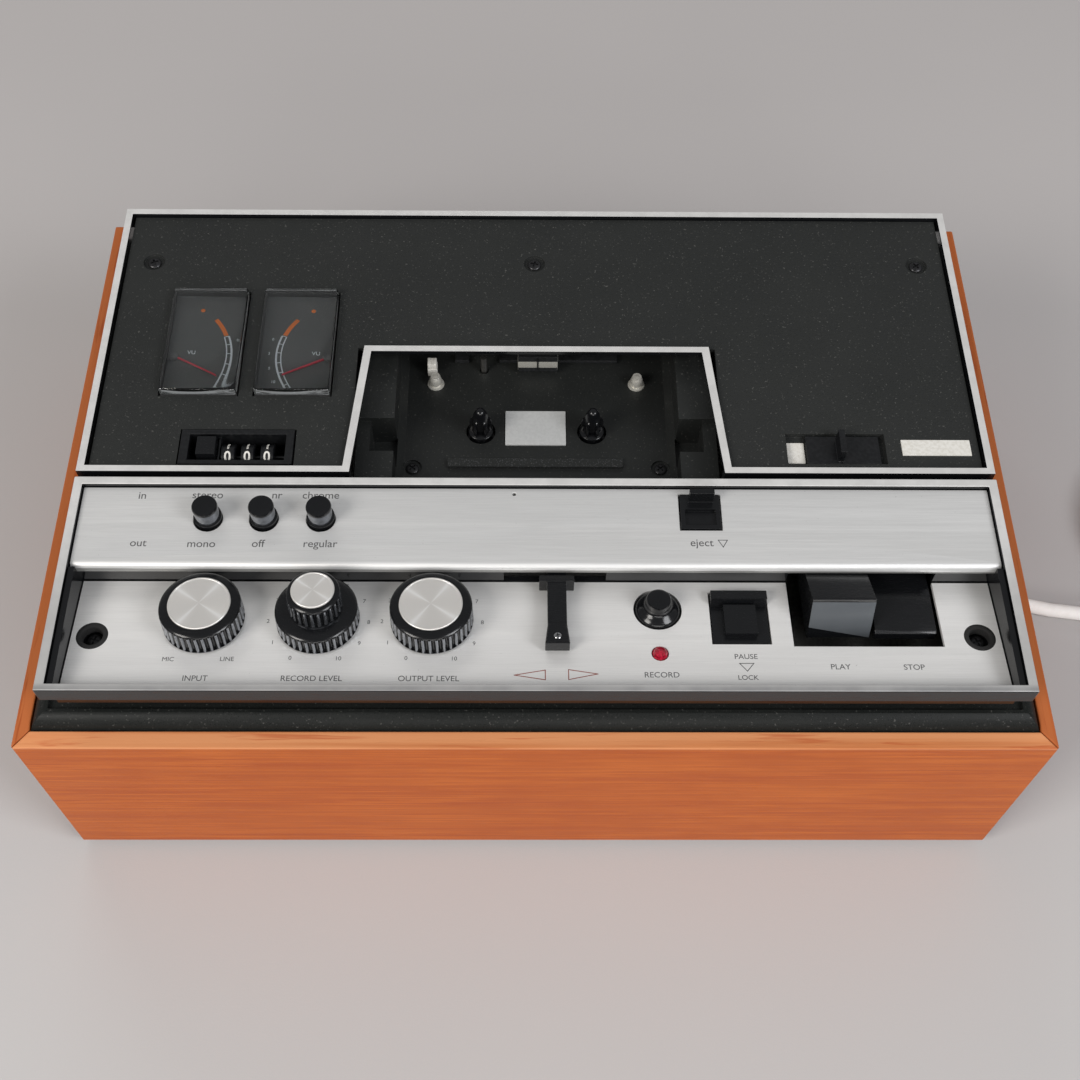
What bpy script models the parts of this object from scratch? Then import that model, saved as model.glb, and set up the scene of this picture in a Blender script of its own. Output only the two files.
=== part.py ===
"""A top loading cassette deck in a wooden case, built as separate solids."""
import math

import bmesh
import bpy
from mathutils import Euler, Matrix, Vector

# Positions are given on the deck: X from its middle, Y back from the face of
# the front board, Z up from the lower edge of the boards. Lengths are metres.

# Fits
GAP = 0.0003
SLIDE_GAP = 0.0006
MERGE = 0.00001
CUT_OVERRUN = 0.004

# Wooden case
CASE_WIDTH = 0.356
CASE_DEPTH = 0.2375
CASE_HEIGHT = 0.09215
FRONT_EDGE = 0.0063
SIDE_EDGE = 0.005
REBATE_DEPTH = 0.00395
FRONT_BOARD = 2 * FRONT_EDGE
SIDE_BOARD = 2 * SIDE_EDGE
HALF_WIDTH = CASE_WIDTH / 2
REBATE_Z = CASE_HEIGHT - REBATE_DEPTH
INNER_HALF = HALF_WIDTH - SIDE_BOARD - GAP


def above_case(rises):
    """Heights measured from the upper edge of the boards."""
    return tuple(CASE_HEIGHT + rise for rise in rises)


# Heights named as a rise are measured from the upper edge of the boards

# Base, feet and back
FOOT_HEIGHT = 0.005
FOOT_RADIUS = 0.009
FOOT_TOP_RADIUS = 0.008
FOOT_X = 0.15
FOOT_Y = (0.028, 0.21)
BASE_Z = (0.002, 0.0035)
BASE_BACK = 0.2262
VENT_SIZE = (0.003, 0.030)
VENT_PITCH = 0.010
VENT_COUNT = 9
VENT_Y = (0.06, 0.165)
BACK_Y = (0.2265, 0.228)
BACK_RISE = -0.00455
BACK_Z = (0.0022, CASE_HEIGHT + BACK_RISE)

# Moulded tray
TRAY_RIM_RISE = -0.00115
TRAY_RIM_Z = CASE_HEIGHT + TRAY_RIM_RISE
TRAY_RIDGE_RISE = 0.00435
TRAY_RIDGE_Z = CASE_HEIGHT + TRAY_RIDGE_RISE
TRAY_LEDGE_RISE = 0.00285
TRAY_LEDGE_Z = CASE_HEIGHT + TRAY_LEDGE_RISE
TRAY_SHOULDER = ((0.0, 0.0), (0.0011, 0.0026), (0.0031, 0.0046), (0.0047, 0.0055))
TRAY_RIDGE_WIDTH = 0.0015
PLINTH_X = (0.1495, 0.152)
PLINTH_Y = (0.019, 0.2195)
PLINTH_WALL = 0.0025
PLINTH_TOP_RISE = 0.01155
PLINTH_TOP = CASE_HEIGHT + PLINTH_TOP_RISE

# Chassis
CHASSIS_RISES = (-0.00545, -0.00395)
CHASSIS_Z = above_case(CHASSIS_RISES)
CHASSIS_X = 0.158
CHASSIS_Y = (0.0155, 0.2235)
KEY_ROD_Y = 0.076
KEY_ROD_RISE = 0.01085
KEY_ROD_Z = CASE_HEIGHT + KEY_ROD_RISE
KEY_ROD_RADIUS = 0.0015
KEY_ROD_X = (0.0556, 0.1418)
KEY_POST_X = (0.0545, 0.0836, 0.1405)
KEY_POST_SIZE = (0.002, 0.009)
KEY_POST_TOP_RISE = 0.01405
KEY_POST_TOP = CASE_HEIGHT + KEY_POST_TOP_RISE
FLYWHEEL_STRAP_RISES = (-0.02765, -0.02615)
FLYWHEEL_STRAP_Z = above_case(FLYWHEEL_STRAP_RISES)
FLYWHEEL_STRAP_X = (-0.0575, 0.0165)
FLYWHEEL_STRAP_LEG = 0.002
FLYWHEEL_STRAP_WIDTH = 0.014

# Bezel frame and surround
FRAME_X = 0.1642
FRAME_TOP_RISE = 0.02755
FRAME_TOP = CASE_HEIGHT + FRAME_TOP_RISE
FRAME_BOTTOM_RISE = 0.01985
FRAME_BOTTOM = CASE_HEIGHT + FRAME_BOTTOM_RISE
SIDE_RIM = 0.0033
BEZEL_Y = (0.0085, 0.092)
BEZEL_INNER_Y = (0.0111, 0.0887)
SURROUND_WALL = 0.0021
SURROUND_FLOOR_RISES = (0.01185, 0.01385)
SURROUND_FLOOR_Z = above_case(SURROUND_FLOOR_RISES)
SURROUND_FLANGE_X = 0.148
SURROUND_FLANGE_Y = (0.024, 0.087)
SURROUND_SIDE_TOP_RISE = 0.02635
SURROUND_SIDE_TOP = CASE_HEIGHT + SURROUND_SIDE_TOP_RISE
SURROUND_FRONT_TOP_RISE = 0.01855
SURROUND_FRONT_TOP = CASE_HEIGHT + SURROUND_FRONT_TOP_RISE
RISER_FACE = 0.0564
RISER_BACK = 0.0584

# Upper strip
STRIP_TOP_RISE = 0.02585
STRIP_TOP = CASE_HEIGHT + STRIP_TOP_RISE
STRIP_THICKNESS = 0.0015
STRIP_FRONT = 0.056
STRIP_LIP_BOTTOM_RISE = 0.02235
STRIP_LIP_BOTTOM = CASE_HEIGHT + STRIP_LIP_BOTTOM_RISE
STRIP_BEND = 0.0025
BEND_STEPS = 4
STRIP_HOLE = (-0.0082, 0.0861, 0.0007)

# Cover
COVER_Y = (0.0943, 0.2209)
COVER_INNER_Y = (0.0968, 0.2182)
WELL_HALF = 0.0669
NOTCH_RIM = 0.0032
NOTCH_X = (WELL_HALF - NOTCH_RIM, WELL_HALF + GAP)
NOTCH_BACK = (0.149, 0.1516)
COVER_TOP_RISE = 0.02585
COVER_TOP = CASE_HEIGHT + COVER_TOP_RISE
COVER_THICKNESS = 0.002
COVER_WALL_BOTTOM_RISE = 0.01185
COVER_WALL_BOTTOM = CASE_HEIGHT + COVER_WALL_BOTTOM_RISE
COVER_WALL_Y = (0.099, 0.2149)

# Control panel, sloping down to the back
PANEL_EDGE_RISE = 0.01565
PANEL_EDGE = (0.056, CASE_HEIGHT + PANEL_EDGE_RISE)
PANEL_SLOPE = 0.1122
PANEL_THICKNESS = 0.0015
PANEL_FRONT = 0.0117
PANEL_ANGLE = math.atan(PANEL_SLOPE)

# Knobs
KNOB_Y = 0.0395
KNOB_SEGMENTS = 32
INPUT_X = -0.114
INPUT_RADIUS = 0.0143
RECORD_X = -0.075
RING_RADIUS = 0.0141
OUTPUT_X = -0.0361
OUTPUT_RADIUS = 0.0141
KNOB_LIFT = 0.0005
KNOB_TOP = 0.010
KNOB_SHOULDER = 0.0085
KNOB_SHOULDER_INSET = 0.0011
KNOB_NECK_INSET = 0.0026
KNOB_FOOT_FLARE = 0.0006
CAP_THICKNESS = 0.0009
CAP_RADIUS = 0.0109
CAP_RIM = 0.0005
RING_TOP = 0.0084
INNER_KNOB_RADIUS = 0.0093
INNER_KNOB_TOP = 0.0186
INNER_CAP_RADIUS = 0.0075
SHAFT_RADIUS = 0.003
SHAFT_LENGTH = 0.008
TUBE_SHAFT_RADIUS = 0.0042
INNER_SHAFT_RADIUS = 0.0022
SHAFT_CLEARANCE = 0.0004
POT_RADIUS = 0.0085
POT_N = (-0.0105, -0.0018)
POT_BOARD_X = (-0.125, -0.026)
POT_BOARD_Y = (-0.030, -0.004)
POT_BOARD_N = (-0.0119, -0.0103)

# Wind lever, on the plane of the control panel
LEVER_PIVOT = (0.00665, 0.022)
LEVER_BAR_WIDTH = 0.0065
LEVER_BAR_N = (0.0009, 0.0056)
LEVER_BAR_FRONT = -0.0215
LEVER_FOOT_FRONT = -0.0292
LEVER_FOOT_WIDTH = 0.0084
LEVER_FOOT_TOP = 0.0062
LEVER_COLLAR = (-0.0039, -0.0015)
LEVER_COLLAR_WIDTH = 0.0121
LEVER_COLLAR_TOP = 0.0062
LEVER_HUB_RADIUS = 0.0065
LEVER_PIN_RADIUS = 0.002
LEVER_SLOT_X = (-0.0117, 0.0239)
LEVER_SLOT_RISES = (0.01575, 0.02205)
LEVER_SLOT_Z = above_case(LEVER_SLOT_RISES)
LEVER_POST_RADIUS = 0.0029

# Record button and lamp
RECORD_AT = (0.0415, 0.0445)
RECORD_HOLE = 0.0084
RECORD_PROFILE = ((0.0, 0.0068), (0.0040, 0.0066), (0.0044, 0.0060), (0.0044, 0.0036),
                  (0.0052, 0.0022), (0.0071, 0.0008), (0.0079, -0.0008), (0.0079, -0.0060),
                  (0.0, -0.0060))
LAMP_AT = (0.0414, 0.0266)
LAMP_RADIUS = 0.0027
LAMP_TOP = 0.0016
LAMP_DEPTH = 0.004
LAMP_FACETS = 12

# Keys
PAUSE_OPENING_X = (0.05935, 0.07975)
PAUSE_OPENING_Y = (0.0303, 0.0517)
KEY_GAP = 0.00045
PAUSE_BASE_N = (-0.0042, -0.0004)
PAUSE_RIDGE = (-0.0092, -0.0058, 0.0034)
PAUSE_BLOCK_INSET = 0.0042
PAUSE_BLOCK = (-0.0226, -0.0106, 0.0018)
PLAY_OPENING_X = (0.0871, 0.1385)
PLAY_OPENING_FRONT = 0.0295
PLAY_X = (0.0929, 0.1145)
STOP_X = (0.116, 0.1372)
PLAY_PROFILE = ((0.0120, -0.0060), (0.0120, 0.0040), (0.0, 0.0060), (-0.0146, 0.0118),
                (-0.0156, 0.0120), (-0.0162, 0.0112), (-0.0189, 0.0), (-0.0196, -0.0050),
                (-0.0180, -0.0062))
STOP_PROFILE = ((0.0120, -0.0062), (0.0120, -0.0012), (-0.0027, -0.0004), (-0.0190, -0.0012),
                (-0.0201, -0.0020), (-0.0201, -0.0050), (-0.0185, -0.0062))
KEY_ARM_WIDTH = 0.006
KEY_ARM_N = (-0.0058, -0.0022)
KEY_HUB_RADIUS = 0.0034
EJECT_OPENING_X = (0.04995, 0.0649)
EJECT_OPENING_Y = (0.0711, 0.0862)
EJECT_PAN_TOP_RISE = 0.02505
EJECT_PAN_TOP = CASE_HEIGHT + EJECT_PAN_TOP_RISE
EJECT_RIM_TOP_RISE = 0.02645
EJECT_RIM_TOP = CASE_HEIGHT + EJECT_RIM_TOP_RISE
EJECT_BOTTOM_RISE = 0.01905
EJECT_BOTTOM = CASE_HEIGHT + EJECT_BOTTOM_RISE
EJECT_PAN_X = (0.0520, 0.0628)
EJECT_PAN_Y = (0.0731, 0.0796)
EJECT_TAB_X = (0.0535, 0.0622)
EJECT_TAB_Y = (0.0826, 0.0848)
EJECT_TAB_TOP_RISE = 0.03185
EJECT_TAB_TOP = CASE_HEIGHT + EJECT_TAB_TOP_RISE
MODE_X = (-0.1153, -0.0958, -0.0759)
MODE_Y = 0.0753
MODE_HOLE = 0.00515
MODE_BASE_RADIUS = 0.0048
MODE_TOP_RADIUS = 0.00445
MODE_TOP_RISE = 0.03335
MODE_TOP = CASE_HEIGHT + MODE_TOP_RISE
MODE_BOTTOM_RISE = 0.01635
MODE_BOTTOM = CASE_HEIGHT + MODE_BOTTOM_RISE
MODE_SEGMENTS = 24

# Screws
SCREW_RADIUS = 0.0026
SCREW_SHAFT = 0.0014
SCREW_LENGTH = 0.007
COVER_SCREWS = ((-0.1502, 0.1944), (-0.0008, 0.1944), (0.1502, 0.1944))
COVER_SCREW_POCKET = (0.0042, 0.0012)
PANEL_SCREWS = ((-0.1511, 0.03325), (0.1511, 0.03325))
PANEL_SCREW_HOLE = 0.0042
WELL_SCREW_INSET = 0.0199
WELL_SCREWS = ((WELL_SCREW_INSET - WELL_HALF, 0.1128), (WELL_HALF - WELL_SCREW_INSET, 0.1128))
WELL_SCREW_POCKET = (0.0036, 0.0009)

# Meters
METER_X = ((-0.1396, -0.1111), (-0.1047, -0.0766))
METER_Y = (0.1295, 0.1785)
METER_OPENING_MARGIN = 0.0006
METER_BODY_RISES = (0.00385, 0.02505)
METER_BODY_Z = above_case(METER_BODY_RISES)
METER_FACE_RISE = 0.02085
METER_FACE_Z = CASE_HEIGHT + METER_FACE_RISE
METER_WEB_RISE = 0.01585
METER_WEB_Z = CASE_HEIGHT + METER_WEB_RISE
METER_WALL = 0.0011
LENS_RISES = (0.02535, 0.02915)
LENS_Z = above_case(LENS_RISES)
LENS_BEVEL = 0.0008
NEEDLE_PIVOT_X = (-0.1362, -0.0800)
NEEDLE_PIVOT_Y = 0.149
NEEDLE_LENGTH = 0.0168
NEEDLE_WIDTH = 0.0006
NEEDLE_RISES = (0.02265, 0.02315)
NEEDLE_Z = above_case(NEEDLE_RISES)
NEEDLE_HUB = 0.0017
NEEDLE_HUB_RISES = (0.02115, 0.02375)
NEEDLE_HUB_Z = above_case(NEEDLE_HUB_RISES)
NEEDLE_REST = math.radians(-27)

# Counter
COUNTER_X = (-0.129, -0.0881)
COUNTER_Y = (0.0983, 0.1133)
COUNTER_RISES = (0.00785, 0.02645)
COUNTER_Z = above_case(COUNTER_RISES)
COUNTER_WINDOW_X = (-0.1258, -0.091)
COUNTER_WINDOW_Y = (0.1, 0.1112)
COUNTER_WINDOW_FLOOR_RISE = 0.01235
COUNTER_WINDOW_FLOOR = CASE_HEIGHT + COUNTER_WINDOW_FLOOR_RISE
WHEEL_X = ((-0.1144, -0.1094), (-0.1072, -0.1025), (-0.1001, -0.0953))
WHEEL_AXIS_RISE = 0.02005
WHEEL_AXIS = (0.1053, CASE_HEIGHT + WHEEL_AXIS_RISE)
WHEEL_RADIUS = 0.0049
WHEEL_BORE = 0.0012
COUNTER_PIN_RADIUS = 0.0008
COUNTER_CHEEK_X = (-0.1156, -0.1148)
RESET_X = (-0.1228, -0.1159)
RESET_Y = (0.1017, 0.1095)
RESET_RISES = (0.01635, 0.02775)
RESET_Z = above_case(RESET_RISES)

# Power slide switch and white plates
POWER_RECESS_X = (0.0906, 0.1267)
POWER_RECESS_Y = (0.0995, 0.1129)
POWER_FLOOR_RISE = 0.02325
POWER_FLOOR = CASE_HEIGHT + POWER_FLOOR_RISE
POWER_BOX_WALL = 0.0018
POWER_BOX_BOTTOM_RISE = 0.02105
POWER_BOX_BOTTOM = CASE_HEIGHT + POWER_BOX_BOTTOM_RISE
SLIDER_X = (0.0979, 0.1247)
SLIDER_Y = (0.1001, 0.1123)
SLIDER_RISES = (0.02385, 0.02505)
SLIDER_Z = above_case(SLIDER_RISES)
SLIDER_GROOVE_X = (0.10955, 0.11065)
SLIDER_RIDGE_X = (0.1090, 0.1112)
SLIDER_RIDGE_Y = (0.1012, 0.1112)
SLIDER_RIDGE_TOP_RISE = 0.03105
SLIDER_RIDGE_TOP = CASE_HEIGHT + SLIDER_RIDGE_TOP_RISE
FLAG_X = (0.0911, 0.0975)
FLAG_Y = (0.1012, 0.1102)
FLAG_RISES = (0.02275, 0.02355)
FLAG_Z = above_case(FLAG_RISES)
BLANK_X = (0.1325, 0.1576)
BLANK_Y = (0.1032, 0.1099)
BLANK_RISES = (0.02555, 0.02625)
BLANK_Z = above_case(BLANK_RISES)

# Cassette well
WELL_Y = (0.0963, 0.186)
WELL_FLOOR_RISES = (0.00085, 0.00285)
WELL_FLOOR = above_case(WELL_FLOOR_RISES)
WELL_BLOCK_WIDTH = 0.0139
WELL_BLOCK_X = WELL_HALF - WELL_BLOCK_WIDTH
WELL_BLOCK_FRONT = 0.1244
WELL_BLOCK_TOP_RISE = 0.01885
WELL_BLOCK_TOP = CASE_HEIGHT + WELL_BLOCK_TOP_RISE
WELL_FRONT_BLOCK_BACK = 0.1112
WELL_FRONT_BLOCK_TOP_RISE = 0.01635
WELL_FRONT_BLOCK_TOP = CASE_HEIGHT + WELL_FRONT_BLOCK_TOP_RISE
WELL_SLOT_INSET = 0.0049
WELL_SLOT_WALL = WELL_HALF - WELL_SLOT_INSET
WELL_FILLET = 0.003
WELL_BACK_WALL = 0.184
WELL_LEG = 0.004
WELL_LEG_INSET = 0.0069
WELL_LEG_X = WELL_HALF - WELL_LEG_INSET
WELL_LEG_AT = ((-WELL_LEG_X, 0.104), (WELL_LEG_X, 0.104), (-WELL_LEG_X, 0.176),
               (WELL_LEG_X, 0.176))
WELL_BAR_X = (-0.0336, 0.0326)
WELL_BAR_Y = (0.1124, 0.1162)
WELL_BAR_TOP_RISE = 0.00445
WELL_BAR_TOP = CASE_HEIGHT + WELL_BAR_TOP_RISE
WINDOW_X = (-0.0122, 0.0116)
WINDOW_Y = (0.1231, 0.1396)
WINDOW_RISES = (0.00125, 0.00315)
WINDOW_Z = above_case(WINDOW_RISES)
PIN_X = 0.0393
PIN_Y = 0.1524
PIN_RADIUS = 0.00225
PIN_TOP_RISE = 0.00815
PIN_TOP = CASE_HEIGHT + PIN_TOP_RISE
PIN_TIP = 0.0018
GUIDE_X = (-0.0423, -0.0391)
GUIDE_Y = (0.1565, 0.160)
GUIDE_TOP_RISE = 0.00965
GUIDE_TOP = CASE_HEIGHT + GUIDE_TOP_RISE

# Spindles
SPINDLE_X = 0.0213
SPINDLE_Y = 0.1295
SPINDLE_HOLE = 0.0056
# Heights from the upper edge of the boards
SPINDLE_PROFILE = ((0.0, 0.01705), (0.0012, 0.01685), (0.0022, 0.01525), (0.0028, 0.01365),
                   (0.0029, 0.00465), (0.0046, 0.00445), (0.0048, 0.00395), (0.0048, 0.00345),
                   (0.0024, 0.00315), (0.0024, -0.00015), (0.0140, -0.00015), (0.0140, -0.00255),
                   (0.0022, -0.00255), (0.0022, -0.00615), (0.0, -0.00615))
FIN_COUNT = 6
FIN_THICKNESS = 0.0009
FIN_REACH = 0.0042
FIN_Z = (0.00405, 0.01185)
SPINDLE_SEGMENTS = 24

# Heads, capstan and pinch roller
CAPSTAN = (-0.0205, 0.1592)
CAPSTAN_RADIUS = 0.00125
CAPSTAN_TOP_RISE = 0.01135
CAPSTAN_TOP = CASE_HEIGHT + CAPSTAN_TOP_RISE
CAPSTAN_HOLE = 0.0018
BRIDGE_X = (-0.032, 0.032)
BRIDGE_Y = (0.1625, 0.1815)
BRIDGE_RISES = (0.00345, 0.00495)
BRIDGE_Z = above_case(BRIDGE_RISES)
BRIDGE_SLOT_X = (-0.0265, -0.0145)
BRIDGE_SLOT_BACK = 0.1665
HEAD_X = (-0.0071, 0.0083)
HEAD_Y = (0.1574, 0.169)
HEAD_TOP_RISE = 0.01365
HEAD_TOP = CASE_HEIGHT + HEAD_TOP_RISE
ROLLER_Y = 0.1706
ROLLER_RADIUS = 0.0055
ROLLER_RISES = (0.00525, 0.01335)
ROLLER_Z = above_case(ROLLER_RISES)
ROLLER_PIN = 0.0012
ROLLER_BORE = 0.0015

# Drive
FLYWHEEL_RADIUS = 0.032
FLYWHEEL_RISES = (-0.02015, -0.01215)
FLYWHEEL_Z = above_case(FLYWHEEL_RISES)
FLYWHEEL_SHAFT_BOTTOM_RISE = -0.02465
FLYWHEEL_SHAFT_BOTTOM = CASE_HEIGHT + FLYWHEEL_SHAFT_BOTTOM_RISE
MOTOR_AT = (0.055, 0.1592)
MOTOR_RADIUS = 0.017
MOTOR_RISES = (-0.06015, -0.02245)
MOTOR_Z = above_case(MOTOR_RISES)
MOTOR_PLATE_RISES = (-0.02245, -0.02095)
MOTOR_PLATE_Z = above_case(MOTOR_PLATE_RISES)
MOTOR_PLATE_HALF = 0.021
MOTOR_POST = 0.0025
MOTOR_POST_AT = 0.018
MOTOR_BORE = 0.0016
PULLEY_RADIUS = 0.004
PULLEY_FLANGE = 0.0055
PULLEY_RISES = (-0.02035, -0.01215)
PULLEY_Z = above_case(PULLEY_RISES)
PULLEY_GROOVE_RISES = (-0.01815, -0.01395)
PULLEY_GROOVE = above_case(PULLEY_GROOVE_RISES)
PULLEY_SHAFT = 0.0012
PULLEY_SHAFT_BOTTOM_RISE = -0.02615
PULLEY_SHAFT_BOTTOM = CASE_HEIGHT + PULLEY_SHAFT_BOTTOM_RISE
BELT_RISES = (-0.01755, -0.01455)
BELT_Z = above_case(BELT_RISES)
BELT_THICKNESS = 0.001
BELT_STEPS = 20

# Transformer and circuit boards
TRANSFORMER_X = (-0.150, -0.094)
TRANSFORMER_Y = (0.140, 0.186)
TRANSFORMER_Z = (0.0038, 0.052)
COIL_INSET = 0.011
COIL_BULGE = 0.012
BOARD_X = (-0.070, 0.145)
BOARD_Y = (0.028, 0.112)
BOARD_Z = (0.012, 0.0136)
BOARD_POST = 0.0035
BOARD_POST_INSET = 0.008
PART_SPOTS = ((-0.045, 0.050), (-0.020, 0.090), (0.010, 0.055), (0.040, 0.085), (0.075, 0.050),
              (0.105, 0.090), (0.125, 0.055))
PART_RADIUS = 0.0065
PART_TOP = 0.032

# Sockets on the back
SOCKET_X = (0.020, 0.038, 0.060, 0.078)
SOCKET_Z = 0.040
SOCKET_PROFILE = ((0.0, 0.2362), (0.0040, 0.2362), (0.0040, 0.2300), (0.0058, 0.2298),
                  (0.0058, 0.2283), (0.0036, 0.2283), (0.0036, 0.2160), (0.0, 0.2160))
SOCKET_HOLE = 0.0039
SOCKET_STRIP_X = (-0.026, 0.090)
SOCKET_STRIP_Y = (0.2215, 0.2262)
SOCKET_STRIP_Z = (0.030, 0.050)
DIN_X = -0.012
DIN_RADIUS = 0.0085
DIN_BODY = 0.0075
DIN_Y = (0.216, 0.2283, 0.2315)

# Mains cord
CORD_RADIUS = 0.003
CORD_LIFT = 0.0001
RELIEF_X = 0.118
RELIEF_Z = 0.038
RELIEF_PROFILE = ((0.0, 0.258), (0.0046, 0.2575), (0.0068, 0.2305), (0.0088, 0.2300),
                  (0.0088, 0.2283), (0.0058, 0.2283), (0.0058, 0.2170), (0.0, 0.2170))
RELIEF_HOLE = 0.0061
CORD_ROUTE = ((0.118, 0.2583), (0.1183, 0.274), (0.121, 0.292), (0.128, 0.309), (0.141, 0.323),
              (0.158, 0.329), (0.178, 0.322), (0.193, 0.303), (0.199, 0.276), (0.197, 0.246),
              (0.1915, 0.215), (0.1887, 0.187), (0.1885, 0.160), (0.1892, 0.136),
              (0.1975, 0.1168), (0.2150, 0.1068), (0.2385, 0.1028), (0.264, 0.0985))
CORD_HEIGHT_SHARES = (1.0, 0.98, 0.76, 0.34, 0.06, 0.0)
CORD_STEP_DIAMETERS = 2.3
COIL_CENTRE = (0.300, 0.1410)
COIL_OUTER = 0.045
COIL_PITCH = 0.0068
COIL_RISE = 0.0066
COIL_TURNS = 6
COIL_POINTS = 24
COIL_TAIL = 0.042
PLUG_LENGTH = 0.034
PLUG_WIDTH = 0.024
PLUG_HEIGHT = 0.019
PLUG_BEVEL = 0.003
BLADE_LENGTH = 0.017
BLADE_WIDTH = 0.0063
BLADE_THICKNESS = 0.0015
BLADE_SPACING = 0.0127

HALF = 0.5
RIGHT_ANGLE = math.pi / 2


def clear_scene():
    for item in list(bpy.data.objects):
        bpy.data.objects.remove(item, do_unlink=True)


def new_collection(name):
    collection = bpy.data.collections.new(name)
    bpy.context.scene.collection.children.link(collection)
    return collection


clear_scene()
PARTS = new_collection("cassette_deck")
CUTTERS = new_collection("cutters")


def material(name, colour, roughness, metallic=0.0):
    made = bpy.data.materials.new(name)
    made.use_nodes = True
    shader = made.node_tree.nodes["Principled BSDF"]
    shader.inputs["Base Color"].default_value = (*colour, 1.0)
    shader.inputs["Roughness"].default_value = roughness
    shader.inputs["Metallic"].default_value = metallic
    return made


WOOD = material("wood", (0.36, 0.13, 0.04), 0.45)
BLACK_GLOSS = material("black_gloss", (0.012, 0.012, 0.013), 0.2)
BLACK_MATT = material("black_matt", (0.022, 0.024, 0.023), 0.6)
ALUMINIUM = material("aluminium", (0.62, 0.62, 0.61), 0.35, 1.0)
STEEL = material("steel", (0.45, 0.45, 0.46), 0.4, 1.0)
BRASS = material("brass", (0.7, 0.5, 0.25), 0.3, 1.0)
WHITE = material("white_plastic", (0.6, 0.6, 0.57), 0.45)
CLEAR = material("clear_plastic", (0.7, 0.7, 0.7), 0.1)
RED = material("red_lens", (0.4, 0.01, 0.02), 0.15)
RUBBER = material("rubber", (0.02, 0.02, 0.02), 0.8)
GREEN = material("circuit_board", (0.05, 0.12, 0.06), 0.5)
COPPER = material("copper_winding", (0.4, 0.2, 0.08), 0.4)
METER_GREY = material("meter_body", (0.08, 0.08, 0.075), 0.6)

deck = bpy.data.objects.new("deck_datum", None)
deck.location = (0, -CASE_DEPTH / 2, FOOT_HEIGHT)
PARTS.objects.link(deck)
panel = bpy.data.objects.new("panel_datum", None)
panel.location = (0, *PANEL_EDGE)
panel.rotation_euler = Euler((-PANEL_ANGLE, 0, 0))
panel.parent = deck
PARTS.objects.link(panel)


def panel_y(y):
    """Distance along the control panel of a point at y on the deck."""
    return (y - PANEL_EDGE[0]) / math.cos(PANEL_ANGLE)


def place(name, mesh, look=None, at=(0, 0, 0), parent=None, turn=(0, 0, 0)):
    """An object of the part, or a cutter when it has no look."""
    made = bpy.data.objects.new(name, mesh)
    made.location = at
    made.rotation_euler = Euler(turn)
    made.parent = parent or deck
    if look is None:
        made.hide_render = True
        made.display_type = "WIRE"
        CUTTERS.objects.link(made)
    else:
        mesh.materials.clear()
        mesh.materials.append(look)
        PARTS.objects.link(made)
    return made


def from_bmesh(name, bm):
    mesh = bpy.data.meshes.new(name)
    bm.to_mesh(mesh)
    bm.free()
    return mesh


def box(name, xs, ys, zs):
    bm = bmesh.new()
    bmesh.ops.create_cube(bm, size=1.0)
    size = Vector((xs[1] - xs[0], ys[1] - ys[0], zs[1] - zs[0]))
    middle = Vector((xs[0] + xs[1], ys[0] + ys[1], zs[0] + zs[1])) / 2
    bmesh.ops.scale(bm, vec=size, verts=bm.verts)
    bmesh.ops.translate(bm, vec=middle, verts=bm.verts)
    return from_bmesh(name, bm)


def rod(name, radius, low, high, at=(0, 0), segments=16, top_radius=None, axis="Z"):
    bm = bmesh.new()
    bmesh.ops.create_cone(bm, cap_ends=True, segments=segments, radius1=radius,
                          radius2=radius if top_radius is None else top_radius,
                          depth=high - low)
    bmesh.ops.translate(bm, vec=(at[0], at[1], (low + high) / 2), verts=bm.verts)
    mesh = from_bmesh(name, bm)
    mesh.transform(TURNS[axis])
    smooth(mesh)
    return mesh


# The drawing plane's two axes and its depth become the deck's axes
TURNS = {
    "Z": Matrix.Identity(4),
    "X": Matrix(((0, 0, 1, 0), (1, 0, 0, 0), (0, 1, 0, 0), (0, 0, 0, 1))),
    "Y": Matrix(((1, 0, 0, 0), (0, 0, -1, 0), (0, 1, 0, 0), (0, 0, 0, 1))),
}


def smooth(mesh, angle=math.radians(35)):
    mesh.shade_smooth()
    mesh.set_sharp_from_angle(angle=angle)


def curve_to_mesh(made, name):
    """The curve's own solid, with its caps joined on."""
    bpy.context.view_layer.update()
    seen = made.evaluated_get(bpy.context.evaluated_depsgraph_get())
    mesh = bpy.data.meshes.new_from_object(seen)
    mesh.name = name
    bm = bmesh.new()
    bm.from_mesh(mesh)
    bmesh.ops.remove_doubles(bm, verts=bm.verts, dist=MERGE)
    bm.to_mesh(mesh)
    bm.free()
    mesh.transform(made.matrix_world)
    bpy.data.objects.remove(made)
    return mesh


def outline(name, loops, depth, axis="Z"):
    """A flat outline, drawn as one loop or a loop and its holes, and thickened."""
    curve = bpy.data.curves.new(name, "CURVE")
    curve.dimensions = "2D"
    curve.fill_mode = "BOTH"
    curve.extrude = (depth[1] - depth[0]) / 2
    for loop in loops:
        spline = curve.splines.new("POLY")
        spline.points.add(len(loop) - 1)
        for point, (a, b) in zip(spline.points, loop):
            point.co = (a, b, 0, 1)
        spline.use_cyclic_u = True
    made = bpy.data.objects.new(name, curve)
    CUTTERS.objects.link(made)
    mesh = curve_to_mesh(made, name)
    middle = (depth[0] + depth[1]) / 2
    mesh.transform(TURNS[axis] @ Matrix.Translation((0, 0, -middle if axis == "Y" else middle)))
    return mesh


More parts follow.
